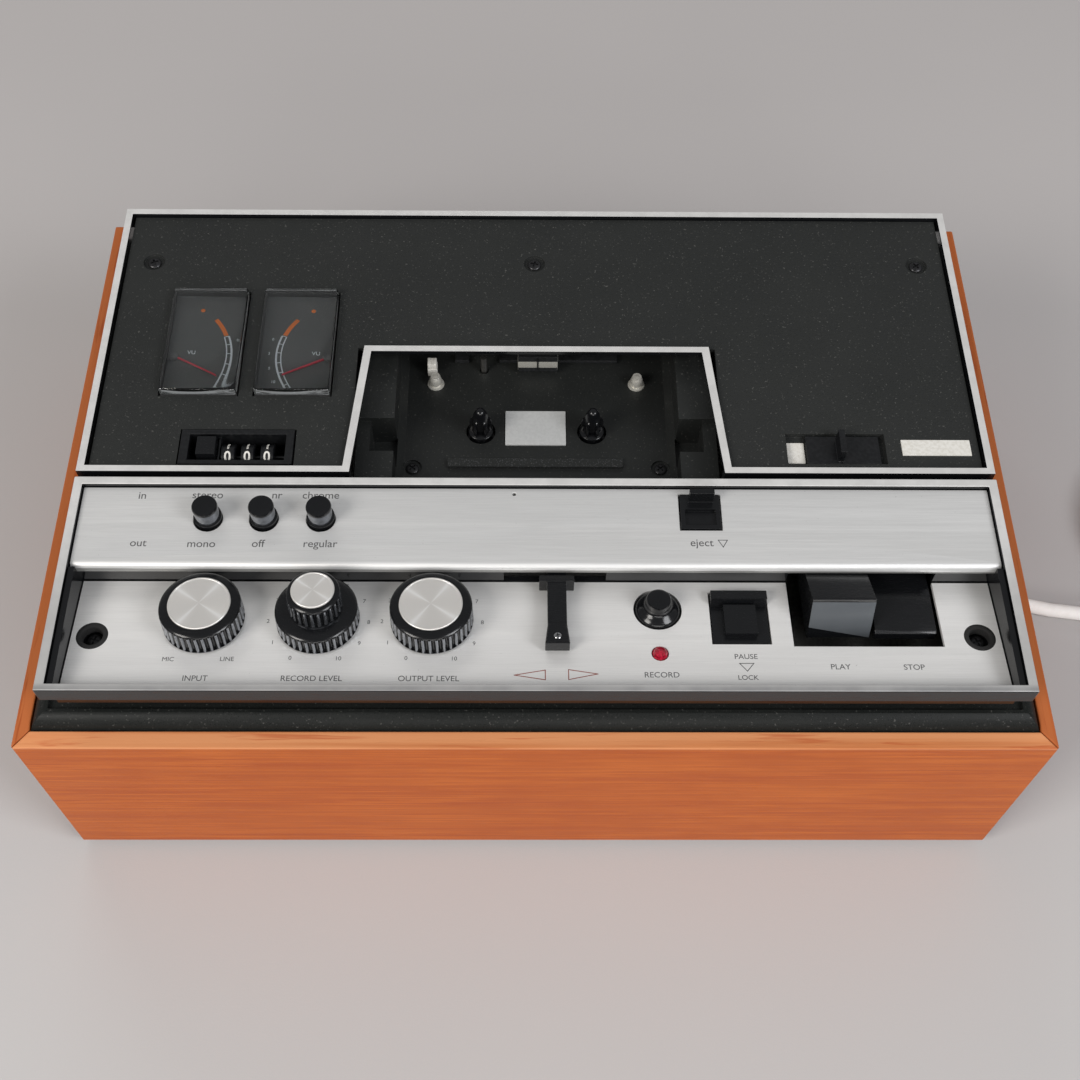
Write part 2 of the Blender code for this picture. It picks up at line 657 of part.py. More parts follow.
def turned(name, profile, look, at=(0, 0, 0), segments=KNOB_SEGMENTS, parent=None,
           turn=(0, 0, 0)):
    """A lathe shape: radius and height down its outer side, round Z."""
    curve = bpy.data.curves.new(name, "CURVE")
    curve.dimensions = "3D"
    spline = curve.splines.new("POLY")
    spline.points.add(len(profile) - 1)
    for point, (radius, height) in zip(spline.points, profile):
        point.co = (radius, 0, height, 1)
    if profile[0][0] > 0:
        spline.use_cyclic_u = True
    drawn = bpy.data.objects.new(name, curve)
    CUTTERS.objects.link(drawn)
    mesh = curve_to_mesh(drawn, name)
    made = place(name, mesh, look, at, parent, turn)
    screw = made.modifiers.new("turn", "SCREW")
    screw.axis = "Z"
    screw.steps = segments
    screw.render_steps = segments
    screw.use_merge_vertices = True
    screw.merge_threshold = MERGE
    screw.use_smooth_shade = False
    return made


def cut(target, *cutters, operation="DIFFERENCE"):
    for cutter in cutters:
        change = target.modifiers.new(cutter.name, "BOOLEAN")
        change.operation = operation
        change.solver = "EXACT"
        change.object = cutter
    return target


def join(target, *others):
    return cut(target, *others, operation="UNION")


def cutter(mesh, at=(0, 0, 0), parent=None, turn=(0, 0, 0)):
    return place("cut_" + mesh.name, mesh, None, at, parent, turn)


def through(pair):
    return (pair[0] - CUT_OVERRUN, pair[1] + CUT_OVERRUN)


def shrink(pair, by):
    return (pair[0] + by, pair[1] - by)


def mirrored(pair):
    return (-pair[1], -pair[0])


def rectangle(xs, ys):
    return [(xs[0], ys[0]), (xs[1], ys[0]), (xs[1], ys[1]), (xs[0], ys[1])]


def merged(name, meshes):
    """Several separate solids kept together in one piece."""
    bm = bmesh.new()
    for mesh in meshes:
        bm.from_mesh(mesh)
    return from_bmesh(name, bm)


def make_case():
    top = CASE_HEIGHT
    front = outline("case_front", [[(0, 0), (FRONT_BOARD, 0), (FRONT_BOARD, REBATE_Z),
                                    (FRONT_EDGE, REBATE_Z), (FRONT_EDGE, top), (0, top)]],
                    (-HALF_WIDTH, HALF_WIDTH), "X")
    front = place("case_front", front, WOOD)
    overrun = FRONT_BOARD / SIDE_BOARD * CUT_OVERRUN
    for side, name in ((-1, "case_left"), (1, "case_right")):
        corner = side * HALF_WIDTH
        inner = corner - side * SIDE_BOARD
        board = outline(name, [[(corner, 0), (corner, top), (corner - side * SIDE_EDGE, top),
                                (corner - side * SIDE_EDGE, REBATE_Z), (inner, REBATE_Z),
                                (inner, 0)]], (0, CASE_DEPTH), "Y")
        board = place(name, board, WOOD)
        far = (inner - side * CUT_OVERRUN, FRONT_BOARD + overrun)
        near = (corner + side * CUT_OVERRUN, -overrun)
        mitre_front = outline("mitre_front", [[(near[0] - side * GAP / 2, near[1]),
                                               (far[0] - side * GAP / 2, far[1]),
                                               (near[0], far[1])]], through((0, top)))
        mitre_side = outline("mitre_side", [[(near[0] + side * GAP / 2, near[1]),
                                             (far[0] + side * GAP / 2, far[1]),
                                             (far[0], near[1])]], through((0, top)))
        cut(front, cutter(mitre_front))
        cut(board, cutter(mitre_side))


def make_base():
    base = place("base_plate", box("base_plate", (-INNER_HALF, INNER_HALF),
                                   (FRONT_BOARD + GAP, BASE_BACK), BASE_Z), STEEL)
    slots = []
    for row in VENT_Y:
        for index in range(VENT_COUNT):
            middle = (index - (VENT_COUNT - 1) / 2) * VENT_PITCH
            slots.append(box("vent", (middle - VENT_SIZE[0] / 2, middle + VENT_SIZE[0] / 2),
                             (row, row + VENT_SIZE[1]), through(BASE_Z)))
    cut(base, cutter(merged("vents", slots)))
    for x in (-FOOT_X, FOOT_X):
        for y in FOOT_Y:
            join(base, cutter(rod("foot", FOOT_TOP_RADIUS, -FOOT_HEIGHT, BASE_Z[0] + GAP, (x, y),
                                  20, FOOT_RADIUS)))
    back = place("back_panel", box("back_panel", (-INNER_HALF, INNER_HALF), BACK_Y, BACK_Z),
                 BLACK_MATT)
    holes = [rod("hole", SOCKET_HOLE, *through(mirrored(BACK_Y)), (x, SOCKET_Z), 16, None, "Y")
             for x in SOCKET_X]
    holes.append(rod("hole", DIN_BODY + GAP, *through(mirrored(BACK_Y)), (DIN_X, SOCKET_Z), 16,
                     None, "Y"))
    holes.append(rod("hole", RELIEF_HOLE, *through(mirrored(BACK_Y)), (RELIEF_X, RELIEF_Z), 16,
                     None, "Y"))
    cut(back, cutter(merged("back_holes", holes)))
    sockets = place("socket_strip", box("socket_strip", SOCKET_STRIP_X, SOCKET_STRIP_Y,
                                        SOCKET_STRIP_Z), STEEL)
    join(sockets, cutter(rod("din", DIN_BODY, GAP - DIN_Y[2], -DIN_Y[0], (DIN_X, SOCKET_Z), 16,
                             None, "Y")))
    join(sockets, cutter(rod("din_flange", DIN_RADIUS, -DIN_Y[2], -DIN_Y[1],
                             (DIN_X, SOCKET_Z), 16, None, "Y")))
    for x in SOCKET_X:
        join(sockets, turned("jack", SOCKET_PROFILE, None, (x, 0, SOCKET_Z), 12, None,
                             (-RIGHT_ANGLE, 0, 0)))


def make_tray():
    side = HALF_WIDTH - SIDE_EDGE - GAP
    front = FRONT_EDGE + GAP
    bottom = REBATE_Z + GAP
    tray = place("deck_tray", box("deck_tray", (-side, side), (front, BACK_Y[1]),
                                  (bottom, TRAY_RIDGE_Z)), BLACK_GLOSS)
    edge = TRAY_SHOULDER[-1][0]
    shape = [(run, TRAY_RIM_Z + rise) for run, rise in TRAY_SHOULDER]
    out = [(edge, TRAY_RIDGE_Z + CUT_OVERRUN), (-CUT_OVERRUN, TRAY_RIDGE_Z + CUT_OVERRUN),
           (-CUT_OVERRUN, TRAY_RIM_Z)]
    wedge = shape + out
    lengthwise = through((0, CASE_DEPTH))
    across = (-HALF_WIDTH, HALF_WIDTH)
    cut(tray, cutter(outline("shoulder_left", [[(-side + a, b) for a, b in wedge]], lengthwise,
                             "Y")))
    cut(tray, cutter(outline("shoulder_right", [[(side - a, b) for a, b in wedge]], lengthwise,
                             "Y")))
    cut(tray, cutter(outline("shoulder_front", [[(front + a, b) for a, b in wedge]], across,
                             "X")))
    inner = side - edge - TRAY_RIDGE_WIDTH
    inner_front = front + edge + TRAY_RIDGE_WIDTH
    cut(tray, cutter(box("ledge", (-inner, inner), (inner_front, CASE_DEPTH),
                         (TRAY_LEDGE_Z, TRAY_RIDGE_Z + CUT_OVERRUN))))
    join(tray, cutter(box("plinth", (-PLINTH_X[1], PLINTH_X[1]), PLINTH_Y,
                          (TRAY_RIM_Z, PLINTH_TOP))))
    cut(tray, cutter(box("hollow", (-PLINTH_X[0], PLINTH_X[0]), shrink(PLINTH_Y, PLINTH_WALL),
                         (bottom - CUT_OVERRUN, PLINTH_TOP + CUT_OVERRUN))))


def make_chassis():
    plate = place("chassis", box("chassis", (-CHASSIS_X, CHASSIS_X), CHASSIS_Y, CHASSIS_Z), STEEL)
    posts = [box("post", (x, x + KEY_POST_SIZE[0]),
                 (KEY_ROD_Y - KEY_POST_SIZE[1] / 2, KEY_ROD_Y + KEY_POST_SIZE[1] / 2),
                 (CHASSIS_Z[0] + GAP, KEY_POST_TOP)) for x in KEY_POST_X]
    for post in posts:
        join(plate, cutter(post))
    join(plate, cutter(rod("key_rod", KEY_ROD_RADIUS, *KEY_ROD_X, (KEY_ROD_Y, KEY_ROD_Z), 12,
                           None, "X")))
    pivot_y = PANEL_EDGE[0] + LEVER_PIVOT[1] * math.cos(PANEL_ANGLE)
    pivot_z = PANEL_EDGE[1] - LEVER_PIVOT[1] * math.sin(PANEL_ANGLE)
    join(plate, cutter(rod("lever_post", LEVER_POST_RADIUS, CHASSIS_Z[0] + GAP,
                           pivot_z - LEVER_POST_RADIUS * PANEL_SLOPE, (LEVER_PIVOT[0], pivot_y))))
    pin_length = LEVER_BAR_N[1] + LEVER_PIN_RADIUS
    join(plate, cutter(rod("lever_pin", LEVER_PIN_RADIUS, -2 * LEVER_PIN_RADIUS, pin_length,
                           (0, 0), 12), (*LEVER_PIVOT, 0), panel))
    leg = FLYWHEEL_STRAP_LEG
    wide = (CAPSTAN[1] - FLYWHEEL_STRAP_WIDTH / 2, CAPSTAN[1] + FLYWHEEL_STRAP_WIDTH / 2)
    low, high = FLYWHEEL_STRAP_X
    strap = outline("strap", [[(low, FLYWHEEL_STRAP_Z[0]), (high, FLYWHEEL_STRAP_Z[0]),
                               (high, CHASSIS_Z[0] + GAP), (high - leg, CHASSIS_Z[0] + GAP),
                               (high - leg, FLYWHEEL_STRAP_Z[1]),
                               (low + leg, FLYWHEEL_STRAP_Z[1]),
                               (low + leg, CHASSIS_Z[0] + GAP), (low, CHASSIS_Z[0] + GAP)]],
                    wide, "Y")
    join(plate, cutter(strap))
    deep = through(CHASSIS_Z)
    cut(plate, cutter(merged("chassis_holes", [
        rod("hole", CAPSTAN_HOLE, *deep, CAPSTAN, 16),
        rod("hole", SPINDLE_PROFILE[-2][0] + SHAFT_CLEARANCE, *deep, (-SPINDLE_X, SPINDLE_Y), 16),
        rod("hole", SPINDLE_PROFILE[-2][0] + SHAFT_CLEARANCE, *deep, (SPINDLE_X, SPINDLE_Y), 16),
    ])))


def frame_loops():
    outer = [(-FRAME_X, COVER_Y[0]), (-NOTCH_X[0], COVER_Y[0]), (-NOTCH_X[0], NOTCH_BACK[0]),
             (NOTCH_X[0], NOTCH_BACK[0]), (NOTCH_X[0], COVER_Y[0]), (FRAME_X, COVER_Y[0]),
             (FRAME_X, COVER_Y[1]), (-FRAME_X, COVER_Y[1])]
    inside = FRAME_X - SIDE_RIM
    inner = [(-inside, COVER_INNER_Y[0]), (-NOTCH_X[1], COVER_INNER_Y[0]),
             (-NOTCH_X[1], NOTCH_BACK[1]), (NOTCH_X[1], NOTCH_BACK[1]),
             (NOTCH_X[1], COVER_INNER_Y[0]), (inside, COVER_INNER_Y[0]),
             (inside, COVER_INNER_Y[1]), (-inside, COVER_INNER_Y[1])]
    return outer, inner


def make_frames():
    tall = (FRAME_BOTTOM, FRAME_TOP)
    inside = FRAME_X - SIDE_RIM
    bezel = outline("bezel_frame", [rectangle((-FRAME_X, FRAME_X), BEZEL_Y),
                                    rectangle((-inside, inside), BEZEL_INNER_Y)], tall)
    place("bezel_frame", bezel, ALUMINIUM)
    outer, inner = frame_loops()
    place("cover_frame", outline("cover_frame", [outer, inner], tall), ALUMINIUM)


def make_surround():
    """Black walls, floor flange and riser round the control panel."""
    side = FRAME_X - SIDE_RIM - GAP
    ys = shrink(BEZEL_INNER_Y, GAP)
    strip_bottom = STRIP_TOP - STRIP_THICKNESS - GAP
    tub = place("panel_riser", box("panel_riser", (-side, side), ys,
                                   (SURROUND_FLOOR_Z[0], SURROUND_SIDE_TOP)), BLACK_GLOSS)
    inner = side - SURROUND_WALL
    inner_y = shrink(ys, SURROUND_WALL)
    cut(tub, cutter(merged("tub_hollow", [
        box("front_bay", (-inner, inner), (inner_y[0], RISER_FACE),
            (SURROUND_FLOOR_Z[1], FRAME_TOP)),
        box("back_bay", (-inner, inner), (RISER_BACK, inner_y[1]),
            (SURROUND_FLOOR_Z[1], FRAME_TOP)),
    ])))
    floor = (SURROUND_FLOOR_Z[0] - CUT_OVERRUN, SURROUND_FLOOR_Z[1] + GAP)
    cut(tub, cutter(box("tub_floor_hole", (-SURROUND_FLANGE_X, SURROUND_FLANGE_X),
                        SURROUND_FLANGE_Y, floor)))
    riser = (RISER_FACE - CUT_OVERRUN / 4, RISER_BACK + CUT_OVERRUN / 4)
    cut(tub, cutter(merged("riser_slots", [
        box("lever_slot", LEVER_SLOT_X, riser, LEVER_SLOT_Z),
        box("key_slot", PLAY_OPENING_X, riser, (SURROUND_FLOOR_Z[0] - GAP, FRAME_TOP)),
        box("pause_slot", (PAUSE_OPENING_X[0], PAUSE_OPENING_X[1]), riser,
            (SURROUND_FLOOR_Z[0] - GAP, LEVER_SLOT_Z[0] - SLIDE_GAP)),
    ])))
    wide = through((-side, side))
    cut(tub, cutter(box("lip_room", wide, (STRIP_FRONT - GAP, RISER_BACK + GAP),
                        (STRIP_LIP_BOTTOM - GAP, FRAME_TOP))))
    cut(tub, cutter(box("strip_room", wide, (STRIP_FRONT, FRAME_X), (strip_bottom, FRAME_TOP))))
    cut(tub, cutter(box("low_front", (-inner, inner), through(BEZEL_INNER_Y)[:1]
                        + (inner_y[0] + GAP,), (SURROUND_FRONT_TOP, FRAME_TOP))))
    ledge = panel_y(PANEL_EDGE[0] - GAP)
    front = panel_y(PANEL_FRONT)
    for side_of in (-1, 1):
        support = box("panel_ledge", tuple(sorted((side_of * (inner - SURROUND_WALL),
                                                   side_of * (inner + GAP)))),
                      (front, ledge - SURROUND_WALL),
                      (-PANEL_THICKNESS - SURROUND_WALL, -PANEL_THICKNESS - GAP))
        join(tub, cutter(support, parent=panel))


def make_strip():
    arc = []
    inner_arc = []
    centre = (STRIP_FRONT + STRIP_BEND, STRIP_TOP - STRIP_BEND)
    for step in range(BEND_STEPS + 1):
        angle = RIGHT_ANGLE * step / BEND_STEPS
        away = (-math.sin(angle), math.cos(angle))
        arc.append((centre[0] + STRIP_BEND * away[0], centre[1] + STRIP_BEND * away[1]))
        inside = STRIP_BEND - STRIP_THICKNESS
        inner_arc.append((centre[0] + inside * away[0], centre[1] + inside * away[1]))
    back = BEZEL_INNER_Y[1] - GAP
    side = FRAME_X - SIDE_RIM - GAP
    profile = [(back, STRIP_TOP)] + arc + [(STRIP_FRONT, STRIP_LIP_BOTTOM),
                                           (STRIP_FRONT + STRIP_THICKNESS, STRIP_LIP_BOTTOM)]
    profile += inner_arc[::-1] + [(back, STRIP_TOP - STRIP_THICKNESS)]
    strip = place("button_panel", outline("button_panel", [profile], (-side, side), "X"),
                  ALUMINIUM)
    deep = through((STRIP_TOP - STRIP_THICKNESS, STRIP_TOP))
    holes = [rod("hole", MODE_HOLE, *deep, (x, MODE_Y), MODE_SEGMENTS) for x in MODE_X]
    holes.append(rod("hole", STRIP_HOLE[2], *deep, STRIP_HOLE[:2], 12))
    holes.append(box("eject", EJECT_OPENING_X, EJECT_OPENING_Y, deep))
    cut(strip, cutter(merged("strip_holes", holes)))


def make_control_panel():
    side = FRAME_X - SIDE_RIM - GAP - SURROUND_WALL - GAP
    sheet = place("control_panel", box("control_panel", (-side, side),
                                       (panel_y(PANEL_FRONT), panel_y(PANEL_EDGE[0])),
                                       (-PANEL_THICKNESS, 0)), ALUMINIUM, parent=panel)
    deep = through((-PANEL_THICKNESS, 0))
    knob_y = panel_y(KNOB_Y)
    holes = [rod("hole", SHAFT_RADIUS + SHAFT_CLEARANCE, *deep, (x, knob_y), 20)
             for x in (INPUT_X, OUTPUT_X)]
    holes.append(rod("hole", TUBE_SHAFT_RADIUS + SHAFT_CLEARANCE, *deep, (RECORD_X, knob_y), 20))
    holes.append(rod("hole", RECORD_HOLE, *deep, (RECORD_AT[0], panel_y(RECORD_AT[1])), 32))
    holes.append(rod("hole", LAMP_RADIUS + GAP, *deep, (LAMP_AT[0], panel_y(LAMP_AT[1])), 16))
    holes += [rod("hole", PANEL_SCREW_HOLE, *deep, (x, panel_y(y)), 24) for x, y in PANEL_SCREWS]
    holes.append(box("pause", PAUSE_OPENING_X, tuple(panel_y(y) for y in PAUSE_OPENING_Y), deep))
    holes.append(box("play", PLAY_OPENING_X, (panel_y(PLAY_OPENING_FRONT), CUT_OVERRUN), deep))
    cut(sheet, cutter(merged("panel_holes", holes), parent=panel))


def make_cover():
    """Black top plate on a wall round the mechanism, with its openings."""
    side = FRAME_X - SIDE_RIM - GAP
    front = COVER_INNER_Y[0] + GAP
    back = COVER_INNER_Y[1] - GAP
    notch = NOTCH_X[1] + GAP
    notch_back = NOTCH_BACK[1] + GAP
    plate_z = (COVER_TOP - COVER_THICKNESS, COVER_TOP)
    loop = [(-side, front), (-notch, front), (-notch, notch_back), (notch, notch_back),
            (notch, front), (side, front), (side, back), (-side, back)]
    cover = place("cover_panel", outline("cover_panel", [loop], plate_z), BLACK_MATT)
    wall_z = (COVER_WALL_BOTTOM, plate_z[0] + GAP)
    wall = outline("cover_wall", [[(-PLINTH_X[1], COVER_WALL_Y[0]), (-PLINTH_X[0], COVER_WALL_Y[0]),
                                   (-PLINTH_X[0], COVER_WALL_Y[1]), (PLINTH_X[0], COVER_WALL_Y[1]),
                                   (PLINTH_X[0], COVER_WALL_Y[0]), (PLINTH_X[1], COVER_WALL_Y[0]),
                                   (PLINTH_X[1], COVER_WALL_Y[1] + PLINTH_WALL),
                                   (-PLINTH_X[1], COVER_WALL_Y[1] + PLINTH_WALL)]], wall_z)
    join(cover, cutter(wall))
    grow = POWER_BOX_WALL
    join(cover, cutter(box("power_box", (POWER_RECESS_X[0] - grow, POWER_RECESS_X[1] + grow),
                           (POWER_RECESS_Y[0] - grow, POWER_RECESS_Y[1] + grow),
                           (POWER_BOX_BOTTOM, plate_z[0] + GAP))))
    join(cover, cutter(box("blank_plate", BLANK_X, BLANK_Y, BLANK_Z)))
    margin = METER_OPENING_MARGIN
    deep = (POWER_BOX_BOTTOM - CUT_OVERRUN, FRAME_TOP)
    holes = [box("meter", (xs[0] - margin, xs[1] + margin),
                 (METER_Y[0] - margin, METER_Y[1] + margin), deep) for xs in METER_X]
    holes.append(box("counter", (COUNTER_X[0] - margin, COUNTER_X[1] + margin),
                     (COUNTER_Y[0] - margin, COUNTER_Y[1] + margin), deep))
    holes.append(box("power", POWER_RECESS_X, POWER_RECESS_Y, (POWER_FLOOR, FRAME_TOP)))
    for x, y in COVER_SCREWS:
        holes.append(rod("pocket", COVER_SCREW_POCKET[0], COVER_TOP - COVER_SCREW_POCKET[1],
                         FRAME_TOP, (x, y), 20))
    cut(cover, cutter(merged("cover_holes", holes)))
    bores = [rod("bore", SCREW_SHAFT + GAP, COVER_WALL_BOTTOM,
                 COVER_TOP - COVER_SCREW_POCKET[1] + GAP, spot, 12) for spot in COVER_SCREWS]
    cut(cover, cutter(merged("cover_bores", bores)))
    cut(cover, cutter(box("flag", (FLAG_X[0] - GAP, FLAG_X[1] + GAP),
                          (FLAG_Y[0] - GAP, FLAG_Y[1] + GAP), (FLAG_Z[0] - GAP, FRAME_TOP))))


def make_well():
    xs = (-WELL_HALF, WELL_HALF)
    well = place("cassette_well", box("cassette_well", xs, WELL_Y, (WELL_FLOOR[0], WELL_BLOCK_TOP)),
                 BLACK_MATT)
    room = outline("well_room", [[(-WELL_BLOCK_X + WELL_FILLET, WELL_FLOOR[1]),
                                  (WELL_BLOCK_X - WELL_FILLET, WELL_FLOOR[1]),
                                  (WELL_BLOCK_X, WELL_FLOOR[1] + WELL_FILLET),
                                  (WELL_BLOCK_X, FRAME_TOP), (-WELL_BLOCK_X, FRAME_TOP),
                                  (-WELL_BLOCK_X, WELL_FLOOR[1] + WELL_FILLET)]],
                   (WELL_Y[0] - CUT_OVERRUN, WELL_BACK_WALL), "Y")
    cut(well, cutter(room))
    low = (WELL_FRONT_BLOCK_TOP, FRAME_TOP)
    cut(well, cutter(box("front_step", through(xs), (WELL_Y[0] - CUT_OVERRUN, WELL_BLOCK_FRONT),
                         low)))
    slots = [box("slot", tuple(sorted((side * (WELL_BLOCK_X - GAP), side * WELL_SLOT_WALL))),
                 (WELL_FRONT_BLOCK_BACK, WELL_BLOCK_FRONT), (WELL_FLOOR[1], FRAME_TOP))
             for side in (-1, 1)]
    cut(well, cutter(merged("well_slots", slots)))
    join(well, cutter(box("well_bar", WELL_BAR_X, WELL_BAR_Y, (WELL_FLOOR[0] + GAP, WELL_BAR_TOP))))
    for spot in WELL_LEG_AT:
        join(well, cutter(rod("well_leg", WELL_LEG, CHASSIS_Z[1] + GAP, WELL_FLOOR[0] + GAP, spot,
                              12)))
    deep = through(WELL_FLOOR)
    holes = [rod("hole", SPINDLE_HOLE, *deep, (side * SPINDLE_X, SPINDLE_Y), 24)
             for side in (-1, 1)]
    holes.append(rod("hole", CAPSTAN_HOLE, *deep, CAPSTAN, 12))
    holes.append(box("window", WINDOW_X, WINDOW_Y, (WINDOW_Z[0] - GAP, FRAME_TOP)))
    for x, y in WELL_SCREWS:
        holes.append(rod("pocket", WELL_SCREW_POCKET[0], WELL_FLOOR[1] - WELL_SCREW_POCKET[1],
                         FRAME_TOP, (x, y), 20))
    cut(well, cutter(merged("well_holes", holes)))
    bores = [rod("bore", SCREW_SHAFT + GAP, WELL_FLOOR[0] - GAP,
                 WELL_FLOOR[1] - WELL_SCREW_POCKET[1] + GAP, spot, 12) for spot in WELL_SCREWS]
    cut(well, cutter(merged("well_bores", bores)))
    for side in (-1, 1):
        join(well, cutter(rod("pin", PIN_RADIUS, WELL_FLOOR[1] - GAP, PIN_TOP,
                              (side * PIN_X, PIN_Y), 16, PIN_TIP)))
    join(well, cutter(box("guide", GUIDE_X, GUIDE_Y, (WELL_FLOOR[1] - GAP, GUIDE_TOP))))
    place("well_window", box("window", shrink(WINDOW_X, GAP), shrink(WINDOW_Y, GAP), WINDOW_Z),
          WHITE)
    place("power_flag", box("flag", FLAG_X, FLAG_Y, FLAG_Z), WHITE)


def make_spindles():
    for side, name in ((-1, "spindle_left"), (1, "spindle_right")):
        at = (side * SPINDLE_X, SPINDLE_Y, CASE_HEIGHT)
        spindle = turned(name, SPINDLE_PROFILE, BLACK_MATT, at, SPINDLE_SEGMENTS)
        for index in range(FIN_COUNT):
            fin = box("fin", (0, FIN_REACH), (-FIN_THICKNESS / 2, FIN_THICKNESS / 2), FIN_Z)
            join(spindle, cutter(fin, at, None, (0, 0, 2 * math.pi * index / FIN_COUNT)))


def make_transport():
    bridge = place("head_bridge", box("head_bridge", BRIDGE_X, BRIDGE_Y, BRIDGE_Z), STEEL)
    cut(bridge, cutter(box("bridge_slot", BRIDGE_SLOT_X, (BRIDGE_Y[0] - CUT_OVERRUN,
                                                          BRIDGE_SLOT_BACK), through(BRIDGE_Z))))
    join(bridge, cutter(box("head", HEAD_X, HEAD_Y, (BRIDGE_Z[1] - GAP, HEAD_TOP))))
    spot = (CAPSTAN[0], ROLLER_Y)
    join(bridge, cutter(rod("roller_pin", ROLLER_PIN, BRIDGE_Z[1] - GAP, ROLLER_Z[1] + SLIDE_GAP,
                            spot, 12)))
    roller_profile = ((ROLLER_BORE, ROLLER_Z[1]), (ROLLER_RADIUS, ROLLER_Z[1]),
                      (ROLLER_RADIUS, ROLLER_Z[0]), (ROLLER_BORE, ROLLER_Z[0]))
    turned("pinch_roller", roller_profile, RUBBER, (*spot, 0), 20)
    shaft = CAPSTAN_RADIUS
    flywheel = ((0.0, CAPSTAN_TOP), (shaft, CAPSTAN_TOP), (shaft, FLYWHEEL_Z[1]),
                (FLYWHEEL_RADIUS, FLYWHEEL_Z[1]), (FLYWHEEL_RADIUS, FLYWHEEL_Z[0]),
                (shaft, FLYWHEEL_Z[0]), (shaft, FLYWHEEL_SHAFT_BOTTOM),
                (0.0, FLYWHEEL_SHAFT_BOTTOM))
    turned("flywheel", flywheel, STEEL, (*CAPSTAN, 0), 36)
    motor = place("motor", rod("motor", MOTOR_RADIUS, *MOTOR_Z, MOTOR_AT, 24), STEEL)
    half = MOTOR_PLATE_HALF
    join(motor, cutter(box("motor_plate", (MOTOR_AT[0] - half, MOTOR_AT[0] + half),
                           (MOTOR_AT[1] - half, MOTOR_AT[1] + half),
                           (MOTOR_PLATE_Z[0] - GAP, MOTOR_PLATE_Z[1]))))
    for side in (-1, 1):
        for end in (-1, 1):
            spot = (MOTOR_AT[0] + side * MOTOR_POST_AT, MOTOR_AT[1] + end * MOTOR_POST_AT)
            join(motor, cutter(rod("post", MOTOR_POST, MOTOR_PLATE_Z[0] + GAP,
                                   CHASSIS_Z[0] - GAP, spot, 10)))
    cut(motor, cutter(rod("bore", MOTOR_BORE, PULLEY_SHAFT_BOTTOM - SLIDE_GAP,
                          MOTOR_PLATE_Z[1] + CUT_OVERRUN, MOTOR_AT, 12)))
    pulley = ((0.0, PULLEY_Z[1]), (PULLEY_FLANGE, PULLEY_Z[1]), (PULLEY_FLANGE, PULLEY_GROOVE[1]),
              (PULLEY_RADIUS, PULLEY_GROOVE[1]), (PULLEY_RADIUS, PULLEY_GROOVE[0]),
              (PULLEY_FLANGE, PULLEY_GROOVE[0]), (PULLEY_FLANGE, PULLEY_Z[0]),
              (PULLEY_SHAFT, PULLEY_Z[0]), (PULLEY_SHAFT, PULLEY_SHAFT_BOTTOM),
              (0.0, PULLEY_SHAFT_BOTTOM))
    turned("motor_pulley", pulley, BRASS, (*MOTOR_AT, 0), 20)
    loops = []
    reach = MOTOR_AT[0] - CAPSTAN[0]
    for extra in (GAP + BELT_THICKNESS, GAP):
        big = FLYWHEEL_RADIUS + extra
        small = PULLEY_RADIUS + extra
        lean = math.acos((big - small) / reach)
        loop = []
        for centre, radius, start, end in ((CAPSTAN[0], big, lean, 2 * math.pi - lean),
                                           (MOTOR_AT[0], small, -lean, lean)):
            for step in range(BELT_STEPS + 1):
                angle = start + (end - start) * step / BELT_STEPS
                loop.append((centre + radius * math.cos(angle),
                             CAPSTAN[1] + radius * math.sin(angle)))
        loops.append(loop)
    place("drive_belt", outline("drive_belt", loops, BELT_Z), RUBBER)


def make_electrics():
    core = box("core", TRANSFORMER_X, TRANSFORMER_Y, TRANSFORMER_Z)
    core = place("transformer", core, STEEL)
    bulge = (TRANSFORMER_Y[0] - COIL_BULGE, TRANSFORMER_Y[1] + COIL_BULGE)
    join(core, cutter(box("winding", shrink(TRANSFORMER_X, COIL_INSET), bulge,
                          shrink(TRANSFORMER_Z, COIL_INSET))))
    board = place("main_board", box("main_board", BOARD_X, BOARD_Y, BOARD_Z), GREEN)
    inset = BOARD_POST_INSET
    for x in shrink(BOARD_X, inset):
        for y in shrink(BOARD_Y, inset):
            join(board, cutter(rod("post", BOARD_POST, BASE_Z[1] + GAP, BOARD_Z[0] + GAP,
                                   (x, y), 10)))
    for spot in PART_SPOTS:
        join(board, cutter(rod("component", PART_RADIUS, BOARD_Z[0] + GAP, PART_TOP, spot, 12)))
    pots = place("control_board", box("control_board", POT_BOARD_X, POT_BOARD_Y, POT_BOARD_N),
                 GREEN, parent=panel)
    bores = {INPUT_X: SHAFT_RADIUS, RECORD_X: TUBE_SHAFT_RADIUS, OUTPUT_X: SHAFT_RADIUS}
    for x, bore in bores.items():
        inner = bore + SHAFT_CLEARANCE
        profile = ((inner, POT_N[1]), (POT_RADIUS, POT_N[1]), (POT_RADIUS, POT_N[0]),
                   (inner, POT_N[0]))
        pot = turned("pot", profile, None, (x, panel_y(KNOB_Y), 0), 20, panel)
        join(pots, pot)


def make_screws():
    top = COVER_TOP - GAP
    seat = COVER_TOP - COVER_SCREW_POCKET[1] + GAP
    profile = ((0.0, top), (SCREW_RADIUS, top), (SCREW_RADIUS, seat), (SCREW_SHAFT, seat),
               (SCREW_SHAFT, COVER_TOP - SCREW_LENGTH), (0.0, COVER_TOP - SCREW_LENGTH))
    for index, (x, y) in enumerate(COVER_SCREWS):
        turned(f"cover_screw_{index + 1}", profile, BLACK_MATT, (x, y, 0), 16)


